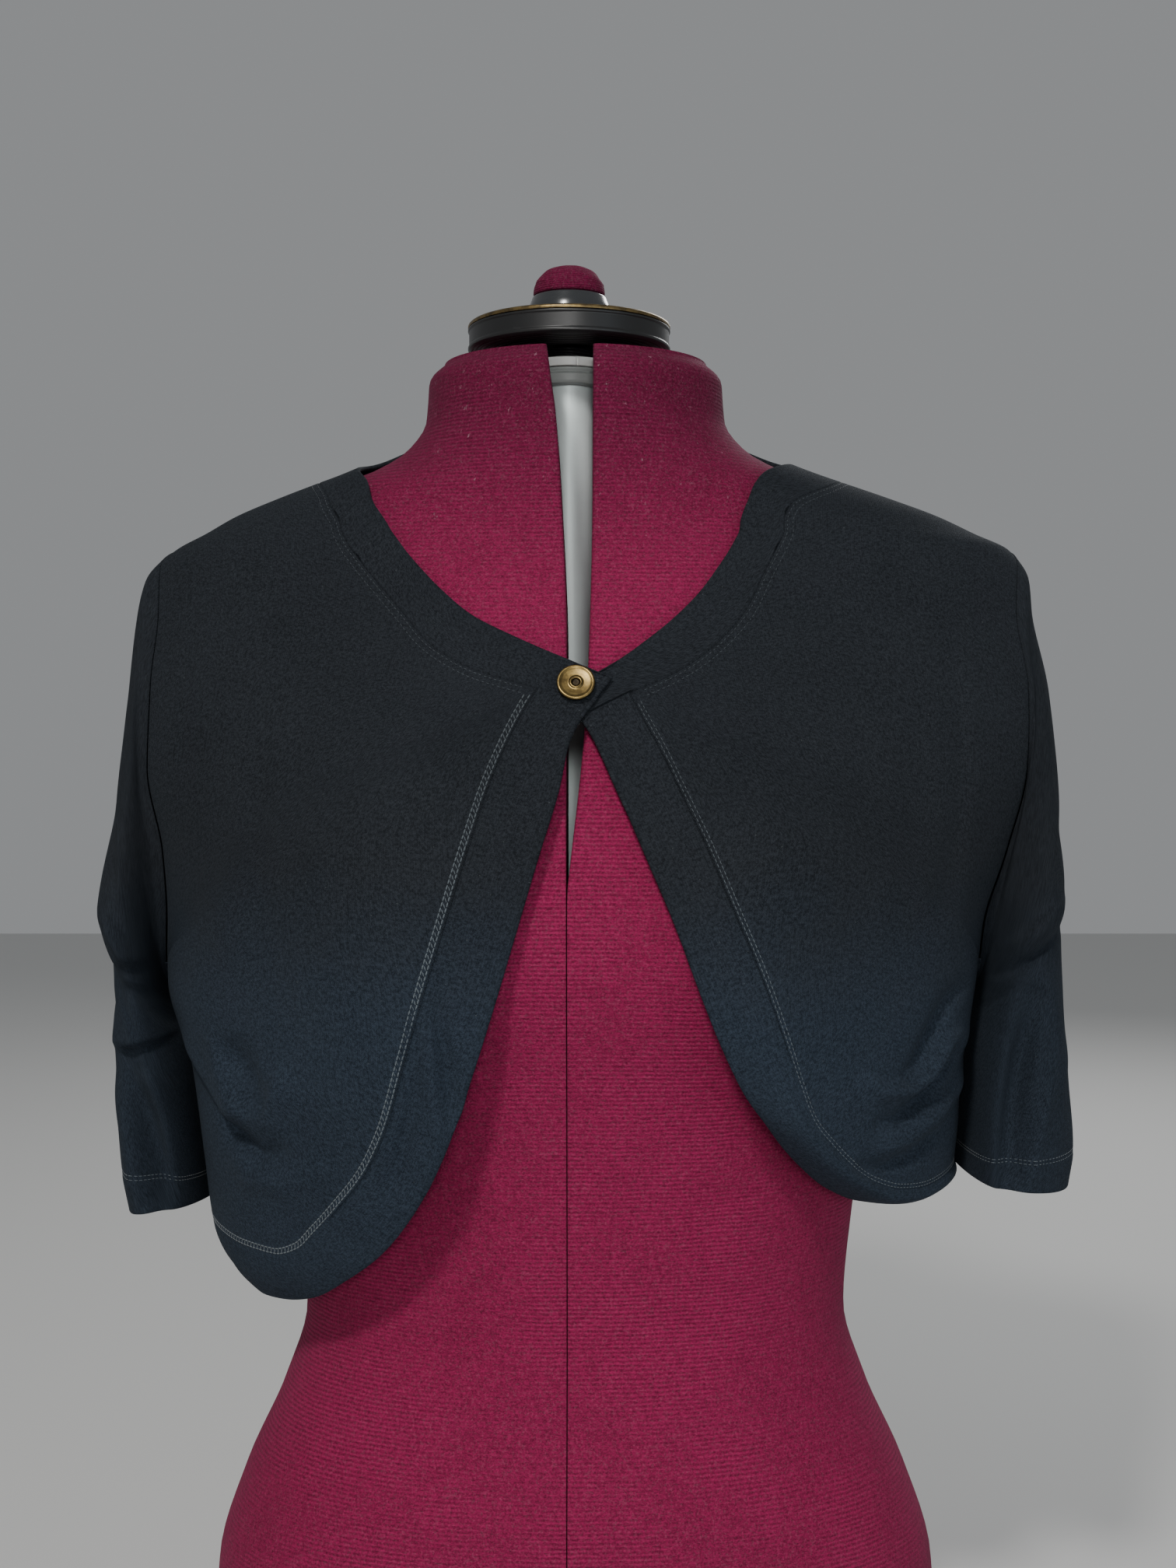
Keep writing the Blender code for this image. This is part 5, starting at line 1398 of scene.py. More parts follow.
def sleeve_point(sleeve, side, v, turn):
    """Outer points of a sleeve. V runs from the armhole to the cuff, turn goes round it."""
    in_z = sleeve.at("in_z", v)
    body_half = BODY.at("left" if side < 0 else "right", in_z)
    inner_x = side * (body_half + ARM_CLEARANCE * smooth(v / 0.04))
    ridge = sleeve.at("ridge", v)
    cosine = np.cos(np.radians(turn))
    sine = np.sin(np.radians(turn))
    reach = np.abs(cosine) ** (2 / SLEEVE_POWER)
    depth = signed_power(sine, 2 / SLEEVE_POWER)
    middle_x = blend(inner_x, sleeve.at("out_x", v), ridge)
    middle_z = blend(in_z, sleeve.at("out_z", v), ridge)
    x = blend(middle_x, np.where(cosine > 0, sleeve.at("out_x", v), inner_x), reach)
    z = blend(middle_z, np.where(cosine > 0, sleeve.at("out_z", v), in_z), reach)
    y = -depth * np.where(sine > 0, sleeve.at("front", v), sleeve.at("back", v))
    return np.stack([x, y, z + sleeve.at("front_z", v) * depth], axis=-1)


def sleeve_ripples(seed, v, turn):
    """Soft diagonal breaks on the outer half of a sleeve."""
    dice = np.random.default_rng(seed)
    total = np.zeros_like(v)
    for number in range(BREAKS):
        centre_v = dice.uniform(0.34, 0.80)
        centre_turn = dice.uniform(-100, 100)
        lean = dice.uniform(-0.9, 0.9)
        length = dice.uniform(14, 34)
        width = dice.uniform(4, 9)
        height = dice.uniform(0.35, 1.1) * (1 if number % 2 else -1)
        run = (((turn - centre_turn + 180) % 360) - 180) * 0.75
        rise = (v - centre_v) * 290
        along = run * math.cos(lean) + rise * math.sin(lean)
        off = rise * math.cos(lean) - run * math.sin(lean)
        total += height * np.exp(-(along / length) ** 2 - (off / width) ** 2)
    return total


def build_sleeve(name, side, sleeve, seed):
    """A sleeve, as a tube of sections from the armhole to the cuff. Its seam is under the arm."""
    rows = np.linspace(0, 1, SLEEVE_ROWS + 1) ** ROW_SPACING
    turns = 180 + 360 * np.arange(AROUND) / AROUND
    v, turn = np.meshgrid(rows, turns, indexing="ij")
    points = sleeve_point(sleeve, side, v, turn)
    top = (1 + np.cos(np.radians(turn))) / 2
    reach = blend(ARMPIT_BLEND, TOP_BLEND, smooth(top))
    spot = armhole_spot(side, turn, -0.1)
    start = body_point(*spot) + body_normal(*spot) * SLEEVE_STEP
    leaving = np.where(v < reach, (1 - np.minimum(v / reach, 1)) ** 2, 0.0)
    points = points + (start - sleeve_point(sleeve, side, 0 * v, turn)) * leaving[..., None]
    facing = np.sin(np.radians(turn))
    x, z = points[..., 0], points[..., 2]
    large = fold_height("sleeve", facing, x, z)
    small = crease_height(SLEEVE_CREASES, facing, x, z)
    height = (large + small) * smooth(v / 0.12)
    points[..., 1] -= height * smooth(np.abs(facing) / 0.5) * np.sign(facing)
    centre = points.mean(axis=1, keepdims=True)
    outward = grid_normals(points, True, points - centre)
    clear_side = smooth((np.cos(np.radians(turn)) + 0.55) / 0.7)
    rise = sleeve_ripples(seed, v, turn) * smooth(v / 0.25) * clear_side
    rise += 0.35 * smooth((v - CUFF_TURN_UP) / CUFF_STEP) * clear_side
    points = points + outward * rise[..., None]
    print(name, "grid", points.shape[:2])
    return shell(name, points, points - centre, JERSEY, sleeve_painted_shade_look, closed=True)


sleeve_right = build_sleeve("sleeve_right_cloth", -1, RIGHT_SLEEVE, 31)
sleeve_left = build_sleeve("sleeve_left_cloth", 1, LEFT_SLEEVE, 32)

# %% [markdown]
# ## The dress form
#
# The real form is a plastic shell with foam and a stretched cover. It splits down the middle, and
# its two neck panels stand apart round a metal pole. Each half here is a stack of outlines: round
# the outside, in at the split, and round the channel of the pole. The outlines are the packed
# half's own with many more points, and with soft corners where the cover turns in.

# %% Form halves
FORM_GAP = 3.0        # from the cloth's outer face to the form at the neck and shoulders
FORM_TOP = 636.0
SHOULDER_START = 556  # height from which the form changes over to the cloth's ovals
SHOULDER_RUN = 24     # height over which it does so
TOP_ROUND = 14        # height of the rounding at the top of the neck
TOP_INSET = 7         # how far the rounding draws the neck in
SPLIT_GAP = 0.3       # gap between the two halves
CHANNEL_RADIUS = 14.2   # radius of the channel round the pole
SOCKET_RADIUS = 13.0    # radius of the closer socket at the pole's foot
SOCKET_TOP = 40.0
COLLAR_CHANNEL = 21.5   # radius of the wider pocket round the collar
COLLAR_POCKET = 622.0   # height from which that pocket starts


def form_sizes(z):
    """Half widths, depths and power of the form's oval at a height."""
    wider = 4 * smooth((z - 400) / 80)
    own = {"left": FORM.at("half", z), "right": FORM.at("half", z) + wider,
           "front": FORM.at("front", z), "back": FORM.at("back", z)}
    share = smooth((z - SHOULDER_START) / SHOULDER_RUN)
    corner = TOP_INSET * smooth((z - FORM_TOP + TOP_ROUND) / TOP_ROUND) ** 3
    sizes = [blend(own[name], BODY.at(name, z + FORM_GAP) - FORM_GAP, share) - corner for name in own]
    return sizes + [FORM.at("power", z)]


def turned_corner(before, corner, after, steps):
    """Points that round a corner, on a curve from one point to another."""
    t = np.linspace(0, 1, steps + 1)[:-1, None]
    return before * (1 - t) ** 2 + corner * 2 * t * (1 - t) + after * t * t


def form_outline(side, z):
    """One half's outline at a height, from the front corner round the outside and the pole."""
    left, right, front, back, power = form_sizes(z)
    slot = float(SLOT.at("right" if side < 0 else "left", z))
    turn_in = 0.9 + 1.9 * float(smooth((z - 395) / 60))
    xs = [SPLIT_X + side * reach for reach in (slot, slot + turn_in, SPLIT_GAP / 2 + 0.9, SPLIT_GAP / 2)]
    ends = []
    for x in xs:
        half = right if x > 0 else left
        ends.append(math.degrees(math.asin(math.copysign((abs(x) / half) ** (power / 2), x))))
    angles = [ends[0], ends[1], side * 180 - ends[2], side * 180 - ends[3]]
    sizes = (z, left, right, front, back, power, FORM_MOUND)
    on_oval = [oval_point(np.array(angle), *sizes) for angle in angles]
    outside = oval_point(np.linspace(angles[1], angles[2], 97)[:-1], *sizes)
    inward_front = on_oval[0] + np.array([0.0, turn_in, 0.0])
    inward_back = on_oval[3] - np.array([0.0, 0.9, 0.0])
    channel = CHANNEL_RADIUS if z > SOCKET_TOP else SOCKET_RADIUS
    channel = COLLAR_CHANNEL if z > COLLAR_POCKET else channel
    start = math.asin(SPLIT_GAP / 2 / channel)
    end = math.pi - math.asin(slot / channel)
    round_pole = np.linspace(start, end, 25)
    ring = np.stack([SPLIT_X + side * channel * np.sin(round_pole), channel * np.cos(round_pole),
                     np.full(25, z)], axis=-1)
    wall = np.linspace(0, 1, 9)[:-1, None]
    return np.concatenate([
        turned_corner(inward_front, on_oval[0], on_oval[1], 5), outside,
        turned_corner(on_oval[2], on_oval[3], inward_back, 4),
        blend(inward_back, ring[0], wall), ring[:-1], blend(ring[-1], inward_front, wall)])


def build_form_half(name, side, node):
    """A form half as a closed stack of outlines with a flat top and base."""
    heights = np.concatenate([
        [0, 0.6, 1.6, 3, 5, 8, 14, 24, 34, SOCKET_TOP, SOCKET_TOP + 0.5], np.arange(48, 560, 7.0),
        np.arange(560, 618, 4.0), [620, COLLAR_POCKET, COLLAR_POCKET + 0.4, 624, 626, 628, 630, 631.5],
        [632.8, 633.9, 634.7, 635.3, 635.7, FORM_TOP]])
    rings = np.stack([form_outline(side, height) for height in heights])
    levels, count = rings.shape[:2]
    faces = grid_faces(levels, count, True).tolist()
    faces += [list(range(count)), list(range((levels - 1) * count, levels * count))]
    data = mesh_from(name, place(rings.reshape(-1, 3)), faces, cover_look)
    turned_out(data)
    data.set_sharp_from_angle(angle=math.radians(50))
    made = link(name, data)
    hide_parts(node)
    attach(made, "form")
    print(name, len(data.polygons), "faces")


build_form_half("form_half_right", -1, "form_right")
build_form_half("form_half_left", 1, "form_left")

# %% [markdown]
# ## Turned parts at the neck
#
# Pole, collar, dial, knob and button are all made on a lathe or in a round mould, so each is a
# profile turned about an axis. The Screw modifier or the Spin operator would do the same. Here the
# points are computed directly, because then the radius can also change with the angle, which makes
# the thread and the small slot in the collar.

# %% Turning a profile
def eased(profile, radius):
    """A profile with its inner corners rounded, and a support point on each side of them."""
    points = [np.array(point, float) for point in profile]
    made = [points[0]]
    for before, corner, after in zip(points, points[1:], points[2:]):
        back = before - corner
        ahead = after - corner
        reach = min(radius, 0.4 * np.linalg.norm(back), 0.4 * np.linalg.norm(ahead))
        start = corner + unit(back) * reach
        end = corner + unit(ahead) * reach
        made.append(corner + unit(back) * reach * 1.2)
        for t in (0.0, 0.25, 0.5, 0.75, 1.0):
            made.append(start * (1 - t) ** 2 + corner * 2 * t * (1 - t) + end * t * t)
        made.append(corner + unit(ahead) * reach * 1.2)
    return np.array(made + [points[-1]])


def turned(name, profile, look, body, nodes=(), steps=96, shape=None, centre=None, axis=None):
    """A body of revolution. The profile lists radius and height, and shape may change the radius."""
    profile = np.asarray(profile, float)
    turn = np.arange(steps) * (2 * math.pi / steps)
    radius, angle = np.meshgrid(profile[:, 0], turn, indexing="ij")
    height = np.repeat(profile[:, 1:], steps, axis=1)
    if shape:
        radius = shape(radius, height, angle)
    points = np.stack([radius * np.cos(angle), radius * np.sin(angle), height], axis=-1)
    if axis is not None:
        tilt = np.array(Vector((0, 0, 1)).rotation_difference(Vector(axis)).to_matrix())
        points = points @ tilt.T
    points = points + (np.array([SPLIT_X, 0.0, 0.0]) if centre is None else centre)
    faces = grid_faces(len(profile), steps, True)
    data = mesh_from(name, place(points.reshape(-1, 3)), faces, look)
    turned_out(data, 1e-6)
    data.shade_smooth()
    data.set_sharp_from_angle(angle=math.radians(42))
    made = link(name, data)
    if nodes:
        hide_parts(*nodes)
    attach(made, body)
    return made


def loop(profile):
    """A profile that ends where it starts, for a ring."""
    return list(profile) + [profile[0]]


print("turning ready")

# %% Pole and collar
POLE_RADIUS = 12.25
POLE_TOP = 630.0
COLLAR_RADIUS = 20.0
COLLAR_SPLIT = -78.0   # angle of the small slot in the collar, in degrees
COLLAR_BOTTOM = 632.9
COLLAR_TOP = 637.3
turned("neck_pole", eased([(0, 0), (POLE_RADIUS, 0), (POLE_RADIUS, POLE_TOP), (0, POLE_TOP)], 0.6),
       pole_look, "form", ["pole"])


def split_collar(radius, height, angle):
    """A narrow upright slot in the collar's rim, the same at every height."""
    away = np.degrees(np.abs(np.angle(np.exp(1j * (angle - math.radians(COLLAR_SPLIT))))))
    return radius - 0.9 * (radius > 19) * (away < 1.4)


collar_profile = [(0, COLLAR_BOTTOM), (COLLAR_RADIUS, COLLAR_BOTTOM), (COLLAR_RADIUS, 636.9),
                  (COLLAR_RADIUS - 1.0, COLLAR_TOP), (0, COLLAR_TOP)]
turned("neck_collar", eased(collar_profile, 0.5), white_look, "form", ["pole_collar"],
       steps=256, shape=split_collar)
ring_profile = [(12.6, 625.2), (18.4, 625.2), (19.0, 626.4), (19.0, 629.6), (17.9, 630.6),
                (18.6, 631.6), (18.6, 632.6), (12.6, 632.6)]
turned("neck_ring", eased(loop(ring_profile), 0.35), frosted_look, "form")
print("pole, collar and ring ready")

# %% Threaded neck
DIAL_RADIUS = 47.5
DIAL_BOTTOM = 642.0
DIAL_TOP = 655.0
SPINDLE_RADIUS = 6.0
FIT = 0.3             # gap between hard pieces that touch
THREAD_STARTS = 5     # a coarse thread with this many starts
THREAD_PITCH = 1.4    # height from one turn of the thread to the next
THREAD_BOTTOM = 637.6
THREAD_TOP = DIAL_BOTTOM - FIT
THREAD_RADIUS = 17.9
CORE_RADIUS = 16.5    # radius of the flat ends of the threaded part


def thread(radius, height, angle):
    """A coarse rounded thread on the wide part."""
    wave = np.cos(angle * THREAD_STARTS + (height - THREAD_BOTTOM) * (2 * math.pi / THREAD_PITCH))
    return radius - 0.55 * (radius > CORE_RADIUS + 0.4) * (1 - wave)


profile = [(0, THREAD_BOTTOM), (CORE_RADIUS, THREAD_BOTTOM)]
profile += [(THREAD_RADIUS, z) for z in np.linspace(THREAD_BOTTOM + 0.1, THREAD_TOP - 0.1, 25)]
profile += [(CORE_RADIUS, THREAD_TOP), (SPINDLE_RADIUS, THREAD_TOP), (SPINDLE_RADIUS, DIAL_TOP + FIT),
            (0, DIAL_TOP + FIT)]
turned("threaded_neck_part", profile, thread_part_look, "form", ["threaded_neck"],
       steps=200, shape=thread)

# %% [markdown]
# ## Dial, trim and knob
#
# The dial and its plated trim turn together round the pole. The dial's wall is plain between two
# raised lips, and round grooves on its underside show between the neck panels. The knob and its
# pincushion stand on the fixed spindle.

# %% Dial and trim
bore = SPINDLE_RADIUS + FIT
underside = [(bore, DIAL_BOTTOM + 0.9), (19.0, DIAL_BOTTOM + 0.9)]
for radius in np.arange(21.0, 43.0, 3.6):
    underside += [(radius, DIAL_BOTTOM + 1.0), (radius + 0.9, DIAL_BOTTOM + 0.1),
                  (radius + 1.9, DIAL_BOTTOM + 0.1), (radius + 2.7, DIAL_BOTTOM + 1.0)]
wall = [(DIAL_RADIUS - 1.5, DIAL_BOTTOM), (DIAL_RADIUS, DIAL_BOTTOM + 1.2), (DIAL_RADIUS, DIAL_BOTTOM + 2.3),
        (DIAL_RADIUS - 0.55, DIAL_BOTTOM + 2.8), (DIAL_RADIUS - 0.55, DIAL_TOP - 3.7),
        (DIAL_RADIUS, DIAL_TOP - 3.2), (DIAL_RADIUS, DIAL_TOP - 2.3),
        (DIAL_RADIUS - 2.0, DIAL_TOP - 2.3), (DIAL_RADIUS - 2.0, DIAL_TOP - 0.2)]
top = [(38.0, DIAL_TOP - 0.2), (36.6, DIAL_TOP - 1.0), (24.0, DIAL_TOP - 1.0), (22.8, DIAL_TOP),
       (bore, DIAL_TOP), (bore, DIAL_BOTTOM + 0.9)]
turned("dial_drum", eased(underside + wall + top, 0.4), black_look, "neck_dial",
       ["neck_dial"], steps=160)
trim_profile = [(DIAL_RADIUS - 1.7, DIAL_TOP - 2.0), (DIAL_RADIUS, DIAL_TOP - 2.0),
                (DIAL_RADIUS, DIAL_TOP - 0.7), (DIAL_RADIUS - 0.7, DIAL_TOP), (DIAL_RADIUS - 1.7, DIAL_TOP)]
turned("dial_rim", eased(loop(trim_profile), 0.4), rim_look, "neck_dial", ["dial_trim"],
       steps=160)

# %% Knob and pincushion
KNOB_BOTTOM = DIAL_TOP + 2 * FIT
KNOB_TOP = KNOB_BOTTOM + 13.0
knob_profile = [(0, KNOB_BOTTOM), (18.6, KNOB_BOTTOM), (19.5, KNOB_BOTTOM + 1.0), (19.5, KNOB_BOTTOM + 5.6),
                (19.0, KNOB_BOTTOM + 8.0), (18.0, KNOB_BOTTOM + 10.6), (17.3, KNOB_TOP - 0.5),
                (16.6, KNOB_TOP), (0, KNOB_TOP)]
turned("knob", eased(knob_profile, 1.2), knob_look, "form", ["knob_base"], steps=112)


def stuffed(radius, height, angle):
    """The slight unevenness of a stuffed dome."""
    lumps = 0.22 * np.sin(3 * angle + 0.8 + height) + 0.12 * np.sin(7 * angle + 2.1 - height * 0.7)
    return radius + lumps * (radius > 1) * (height > KNOB_TOP + 1.5) * (radius < 16.2)


DOME_BOTTOM = KNOB_TOP + FIT
climb = np.radians(np.linspace(0, 90, 25))
dome = [(0, DOME_BOTTOM), (15.6, DOME_BOTTOM), (16.6, DOME_BOTTOM + 0.4)]
dome += [(16.8 * math.cos(a) ** 0.8, DOME_BOTTOM + 1.0 + 13.0 * math.sin(a)) for a in climb[:-1]]
dome += [(0, DOME_BOTTOM + 14.0)]
pincushion = turned("knob_pincushion", dome, cushion_look, "form", ["pincushion"],
                    steps=96, shape=stuffed)
print("knob and pincushion ready")

# %% [markdown]
# ## The button
#
# One plated button with a rim and a hollow rivet in the middle holds the fronts. It is turned like
# the neck parts, about the cloth's own direction at the tab. Its hollow middle is painted darker, as
# painted shade in the recess.

# %% Button
BUTTON_X = 0.8
BUTTON_Z = 479.9
EYELET = 1.75         # radius of the hollow in its middle
FACE_HEIGHT = 0.002   # faces above this height over the cloth, in metres, are on its front
button_spot, button_axis = cloth_point(angle_at(BUTTON_X, BUTTON_Z), BUTTON_Z, True, False)
face_profile = [(0, 1.5), (7.1, 1.5), (7.7, 1.75), (8.0, 2.2), (8.0, 2.85), (7.85, 3.2), (7.45, 3.42),
                (7.0, 3.42), (6.5, 3.24), (6.0, 3.1), (4.6, 2.95), (3.3, 2.85), (2.9, 2.95), (2.6, 3.2),
                (2.3, 3.3), (2.0, 3.25), (EYELET, 3.0), (1.5, 2.5), (1.2, 2.4), (0, 2.38)]
button = turned("shrug_button", eased(face_profile, 0.2), brass_look, "form", ["button"],
                steps=72, centre=button_spot, axis=button_axis)
button.data.materials.append(recess_painted_shade_look)
middle = Vector(place(button_spot))
# Painted shade: faces in the hollow middle get the darker brass.
for face in button.data.polygons:
    off = face.center - middle
    above = off.dot(Vector(button_axis))
    if above > FACE_HEIGHT and (off - Vector(button_axis) * above).length < EYELET * MM:
        face.material_index = 1
frame["nodes"]["button_foot"].material_slots[0].material = black_look
print("button at", place(button_spot).round(4))

# %% [markdown]
# ## Stitches
#
# Machine stitches are the same short thread again and again along a seam, so Geometry Nodes set
# them. Python finds the line beside each seam, spaces points along it and stores two directions at
# each point, along the seam and out of the cloth. The node tree puts a small capsule of thread on
# every point and turns it to both directions. A tube along the line would look like piping.

# %% Stitch tree
def stitch_tree():
    """Geometry Nodes that put one stitch on every point of a mesh."""
    tree = bpy.data.node_groups.new("stitches", "GeometryNodeTree")
    tree.interface.new_socket("Points", in_out="INPUT", socket_type="NodeSocketGeometry")
    for size in ("Length", "Width", "Height"):
        tree.interface.new_socket(size, in_out="INPUT", socket_type="NodeSocketFloat")
    tree.interface.new_socket("Thread", in_out="INPUT", socket_type="NodeSocketMaterial")
    tree.interface.new_socket("Stitches", in_out="OUTPUT", socket_type="NodeSocketGeometry")

    def node(kind, settings=None, inputs=None):
        return add_node(tree, kind, settings, inputs)

    given = node("NodeGroupInput").outputs
    size = node("ShaderNodeCombineXYZ", inputs={0: given["Length"], 1: given["Width"], 2: given["Height"]})
    along = node("GeometryNodeInputNamedAttribute", {"data_type": "FLOAT_VECTOR"}, {"Name": "along"})
    up = node("GeometryNodeInputNamedAttribute", {"data_type": "FLOAT_VECTOR"}, {"Name": "up"})
    lying = node("FunctionNodeAlignRotationToVector", {"axis": "X"}, {"Vector": along.outputs[0]})
    turned_up = node("FunctionNodeAlignRotationToVector", {"axis": "Z", "pivot_axis": "X"},
                     {"Rotation": lying.outputs[0], "Vector": up.outputs[0]})
    capsule = node("GeometryNodeMeshUVSphere", inputs={"Segments": 6, "Rings": 4, "Radius": 0.5})
    turned_capsule = node("GeometryNodeTransform", inputs={"Geometry": capsule.outputs[0],
                                                           "Rotation": (0.0, math.radians(90), 0.0)})
    copies = node("GeometryNodeInstanceOnPoints", inputs={
        "Points": given["Points"], "Instance": turned_capsule.outputs[0],
        "Rotation": turned_up.outputs[0], "Scale": size.outputs[0]})
    real = node("GeometryNodeRealizeInstances", inputs={0: copies.outputs[0]})
    soft = node("GeometryNodeSetShadeSmooth", inputs={"Geometry": real.outputs[0]})
    painted = node("GeometryNodeSetMaterial", inputs={
        "Geometry": soft.outputs[0], "Material": given["Thread"]})
    node("NodeGroupOutput", inputs={0: painted.outputs[0]})
    return tree


STITCHES = stitch_tree()


def sewn(name, lines, length, width, height):
    """Stitches along some lines, each given as its points, their run and their outward normals."""
    points, along, up = (np.concatenate(parts) for parts in zip(*lines))
    data = bpy.data.meshes.new(name)
    data.from_pydata(place(points).tolist(), [], [])
    for attribute, vectors in (("along", along), ("up", up)):
        layer = data.attributes.new(attribute, "FLOAT_VECTOR", "POINT")
        layer.data.foreach_set("vector", vectors.astype(np.float32).ravel())
    made = link(name, data)
    modifier = made.modifiers.new("stitches", "NODES")
    modifier.node_group = STITCHES
    values = {"Length": length * MM, "Width": width * MM, "Height": height * MM, "Thread": thread_look}
    for item in STITCHES.interface.items_tree:
        if item.name in values:
            modifier[item.identifier] = values[item.name]
    graph = bpy.context.evaluated_depsgraph_get()
    result = bpy.data.meshes.new_from_object(made.evaluated_get(graph))
    made.modifiers.clear()
    made.data = result
    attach(made, "form")
    print(name, len(points), "stitches")
    return made


# %% Lines beside a seam
def spaced(points, pitch):
    """Points at equal steps along a line."""
    travelled = np.concatenate([[0.0], step_lengths(points).cumsum()])
    stops = np.arange(pitch / 2, travelled[-1], pitch)
    return np.stack([np.interp(stops, travelled, points[:, i]) for i in range(3)], axis=-1)


def seam_line(piece, edge, distance, pitch, sink=0.12):
    """Stitch places on a panel at a distance from its edge, which is a line of grid spots."""
    points, normals = piece[1:]
    at = tuple(np.array(edge).T)
    run = unit(np.gradient(points[at], axis=0))
    inward = unit(np.cross(normals[at], run))
    heart = points[points.shape[0] // 2, points.shape[1] // 2]
    if ((heart - points[at]) * inward).sum() < 0:
        inward = -inward
    spots = spaced(points[at] + inward * distance, pitch)
    faces = grid_faces(*points.shape[:2], False)
    surface = BVHTree.FromPolygons(points.reshape(-1, 3).tolist(), faces.tolist())
    found = [surface.find_nearest(Vector(spot)) for spot in spots]
    up = np.array([hit[1][:] for hit in found])
    up = up * np.sign((up * normals[at].mean(axis=0)).sum(-1, keepdims=True))
    on_cloth = np.array([hit[0][:] for hit in found])
    return on_cloth - up * sink, unit(np.gradient(on_cloth, axis=0)), up


def rungs(first, second):
    """Threads that cross from one line of stitches to the next."""
    count = min(len(first[0]), len(second[0])) - 1
    start = first[0][:count]
    end = second[0][1:count + 1] * 0.5 + second[0][:count] * 0.5
    return (start + end) / 2, unit(end - start), first[2][:count]


# %% Seams
front_rows = SEAM_ROWS * FINE
last = front_right[1].shape[1] - 1
top_row = front_right[1].shape[0] - 1
front_edge = [(0, column) for column in range(0, last)] + [(row, last) for row in range(0, front_rows - 3)]
neck_edge = [(row, last) for row in range(front_rows + 3, top_row - 1)]
back_top = back[1].shape[0] - 1
back_neck = [(back_top, column) for column in range(4 * FINE + 1, (BACK_COLUMNS - 4) * FINE)]
back_hem = [(0, column) for column in range(1, BACK_COLUMNS * FINE)]
NEAR = 1.3            # distances of the two rows of stitches from a panel's edge
FAR = 3.5
wide = [seam_line(front_right, front_edge, distance, 2.4) for distance in (NEAR, FAR)]
fine_left = [seam_line(front_left, front_edge, distance, 2.3) for distance in (NEAR, NEAR + 1.5)]
neck_lines = [seam_line(piece, edge, distance, 2.4, 0.16)
              for piece, edge in ((front_right, neck_edge), (front_left, neck_edge), (back, back_neck))
              for distance in (NEAR, FAR + 0.4)]
hem_lines = [seam_line(back, back_hem, distance, 2.4) for distance in (NEAR, FAR)]
stitches_right = sewn("stitches_front_right", wide, 2.5, 0.72, 0.55)
rungs_right = sewn("rungs_front_right", [rungs(wide[0], wide[1])], 2.6, 0.55, 0.5)
stitches_left = sewn("stitches_front_left", fine_left, 2.2, 0.44, 0.42)
stitches_neck = sewn("stitches_neck", neck_lines, 2.2, 0.42, 0.46)
stitches_hem = sewn("stitches_hem", hem_lines, 2.2, 0.42, 0.46)
cuff_lines = []
cuff_row = int(round((CUFF_TURN_UP - CUFF_STEP) ** (1 / ROW_SPACING) * SLEEVE_ROWS))
for points in (sleeve_right[1], sleeve_left[1]):
    for step in (0, 1):
        circle = np.concatenate([points[cuff_row - step], points[cuff_row - step][:1]])
        spots = spaced(circle, 2.4)
        centre = circle.mean(axis=0)
        out = unit((spots - centre) * np.array([1.0, 1.0, 0.0]))
        cuff_lines.append((spots - out * 0.1, unit(np.gradient(spots, axis=0)), out))
stitches_cuffs = sewn("stitches_cuffs", cuff_lines, 2.0, 0.4, 0.34)

# %% [markdown]
# ## The cut of the cloth
#
# A cutter needs the flat size of each piece. The grid gives it: the widest row, the longest column
# and the area of the outer face. Each piece's sizes are printed.

# %% Cloth sizes
def cut_size(points, closed):
    """Greatest width, greatest length and area of a grid of cloth, in metres."""
    around = all_round(points, closed)
    width = step_lengths(around, 1).sum(axis=1).max()
    length = step_lengths(around, 0).sum(axis=0).max()
    doubled = np.cross(around[1:, 1:] - around[:-1, :-1], around[1:, :-1] - around[:-1, 1:])
    return width * MM, length * MM, np.linalg.norm(doubled, axis=-1).sum() / 2 * MM * MM


def declare(piece, node, closed=False):
    """Hide the CAD node a cloth piece stands for, attach the piece to the form and print its cut."""
    made, points = piece[:2]
    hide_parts(node)
    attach(made, "form")
    width, length, area = cut_size(points, closed)
    width = max(width, area / length)
    print(node, "cut", round(width, 3), "x", round(length, 3), "m, area", round(area, 4))


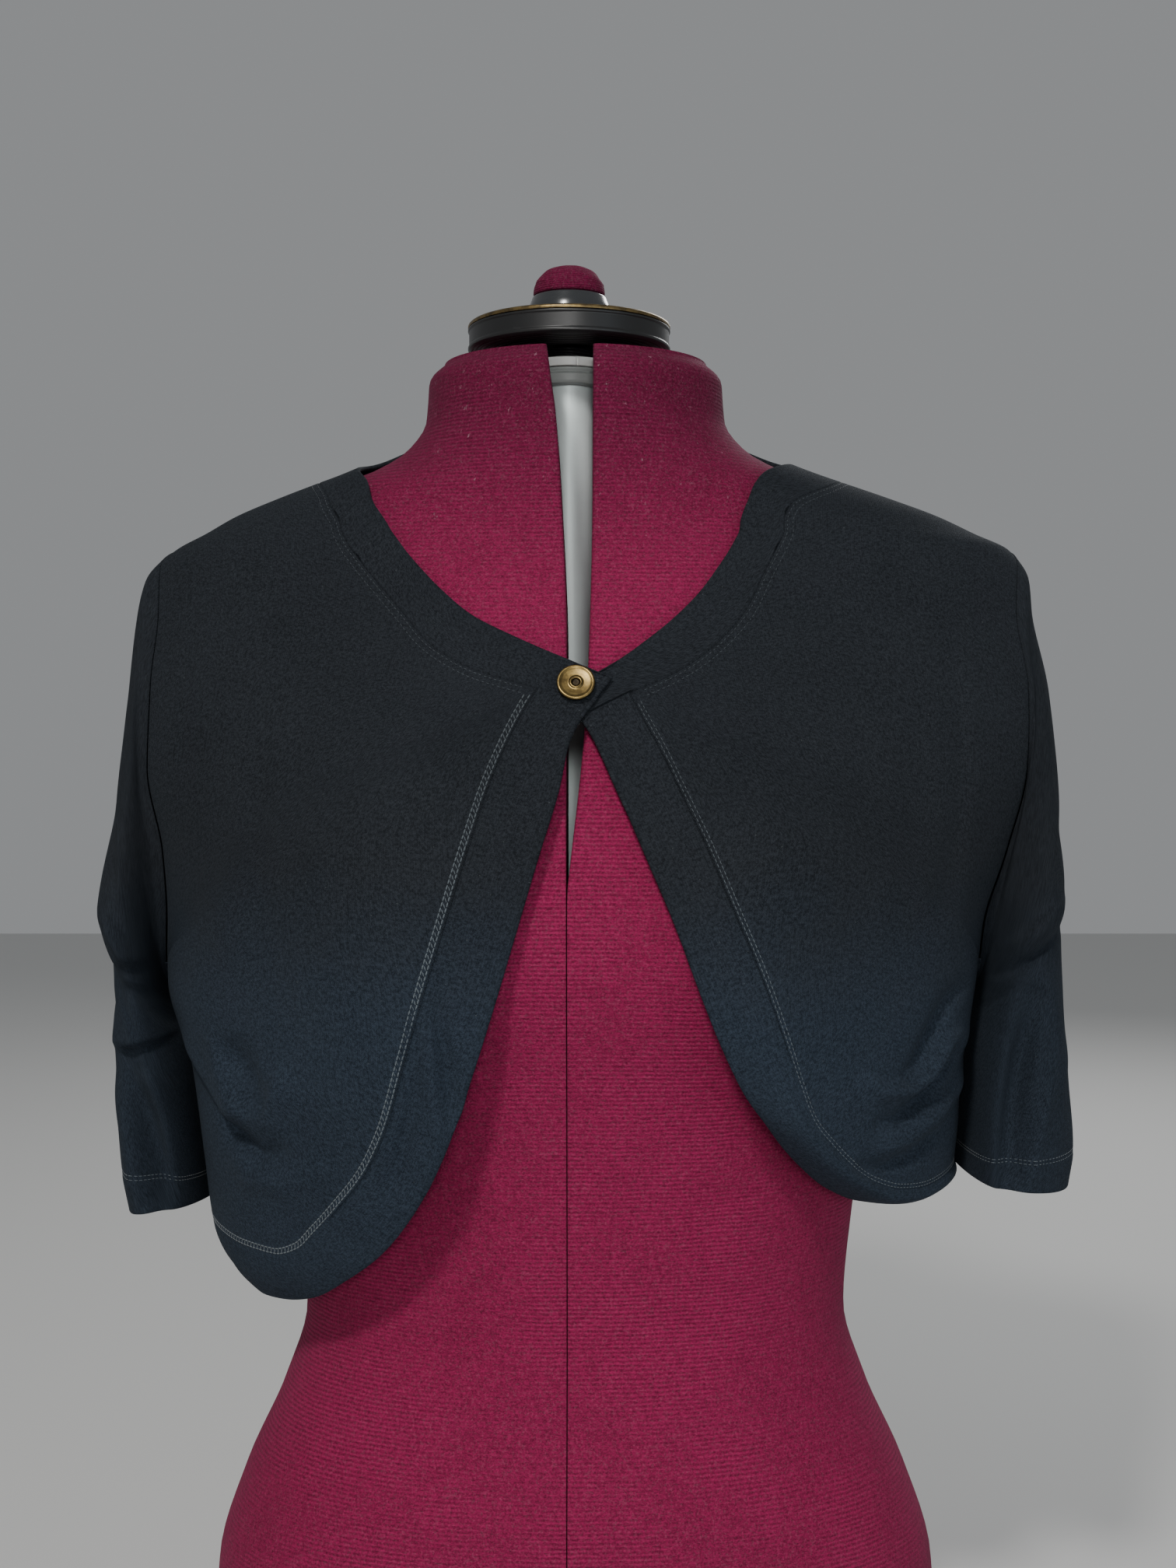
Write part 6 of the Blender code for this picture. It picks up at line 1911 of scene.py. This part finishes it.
declare(front_right, "shrug_front_right")
declare(front_left, "shrug_front_left")
declare(back, "shrug_back")
declare(neckband, "neckband")
declare(front_band_right, "front_band_right")
declare(front_band_left, "front_band_left")
declare(hem_band, "hem_band_back")
declare(sleeve_right, "sleeve_right", closed=True)
declare(sleeve_left, "sleeve_left", True)

# %% [markdown]
# ## Floor and light
#
# The main light stands in front, above and to the left, and a small one straight in front lights
# the metal. A wide, weak and bluish one on the right softens the shadows, and one behind shows the
# back. A grey sky lights the rest, as a pale room does.

# %% Floor and light
floor = mesh_from("floor", np.array([[-5, -5, 0], [5, -5, 0], [5, 5, 0], [-5, 5, 0]]), [[0, 1, 2, 3]],
                  Finish("pale floor", (0.62, 0.62, 0.61), 0.7).material)
link("floor", floor)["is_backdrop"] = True


def softbox(name, spot, aim, size, power, colour):
    """A disc of light at a spot, turned to its aim. Size is its width, in metres."""
    lamp = bpy.data.lights.new(name, "AREA")
    lamp.shape = "DISK"
    lamp.size = size
    lamp.energy = power
    lamp.color = colour
    made = link(name, lamp)
    made.location = spot
    made.rotation_euler = (Vector(spot) - Vector(aim)).to_track_quat("Z", "Y").to_euler()


softbox("key", (-0.50, -1.75, 1.85), (0.0, 0.0, 0.46), 0.30, 30.0, (1.0, 0.98, 0.95))
softbox("front light", (0.03, -1.95, 0.72), (0.0, 0.0, 0.46), 0.25, 10.0, (1.0, 0.99, 0.97))
softbox("fill", (1.3, -1.5, 0.35), (0.0, 0.0, 0.36), 1.2, 6.0, (0.78, 0.90, 1.0))
softbox("back light", (0.8, 1.9, 1.7), (0.0, 0.0, 0.40), 1.0, 18.0, (1.0, 1.0, 1.0))
world = bpy.data.worlds.new("studio")
world.use_nodes = True
world.node_tree.nodes["Background"].inputs["Color"].default_value = (0.80, 0.82, 0.84, 1.0)
world.node_tree.nodes["Background"].inputs["Strength"].default_value = 0.33
bpy.context.scene.world = world
print("lights ready")

# %% [markdown]
# ## Finish
#
# The visual model keeps to the imported model's box to about a millimetre. Its own box is computed
# at the end.

# %% End
low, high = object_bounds()
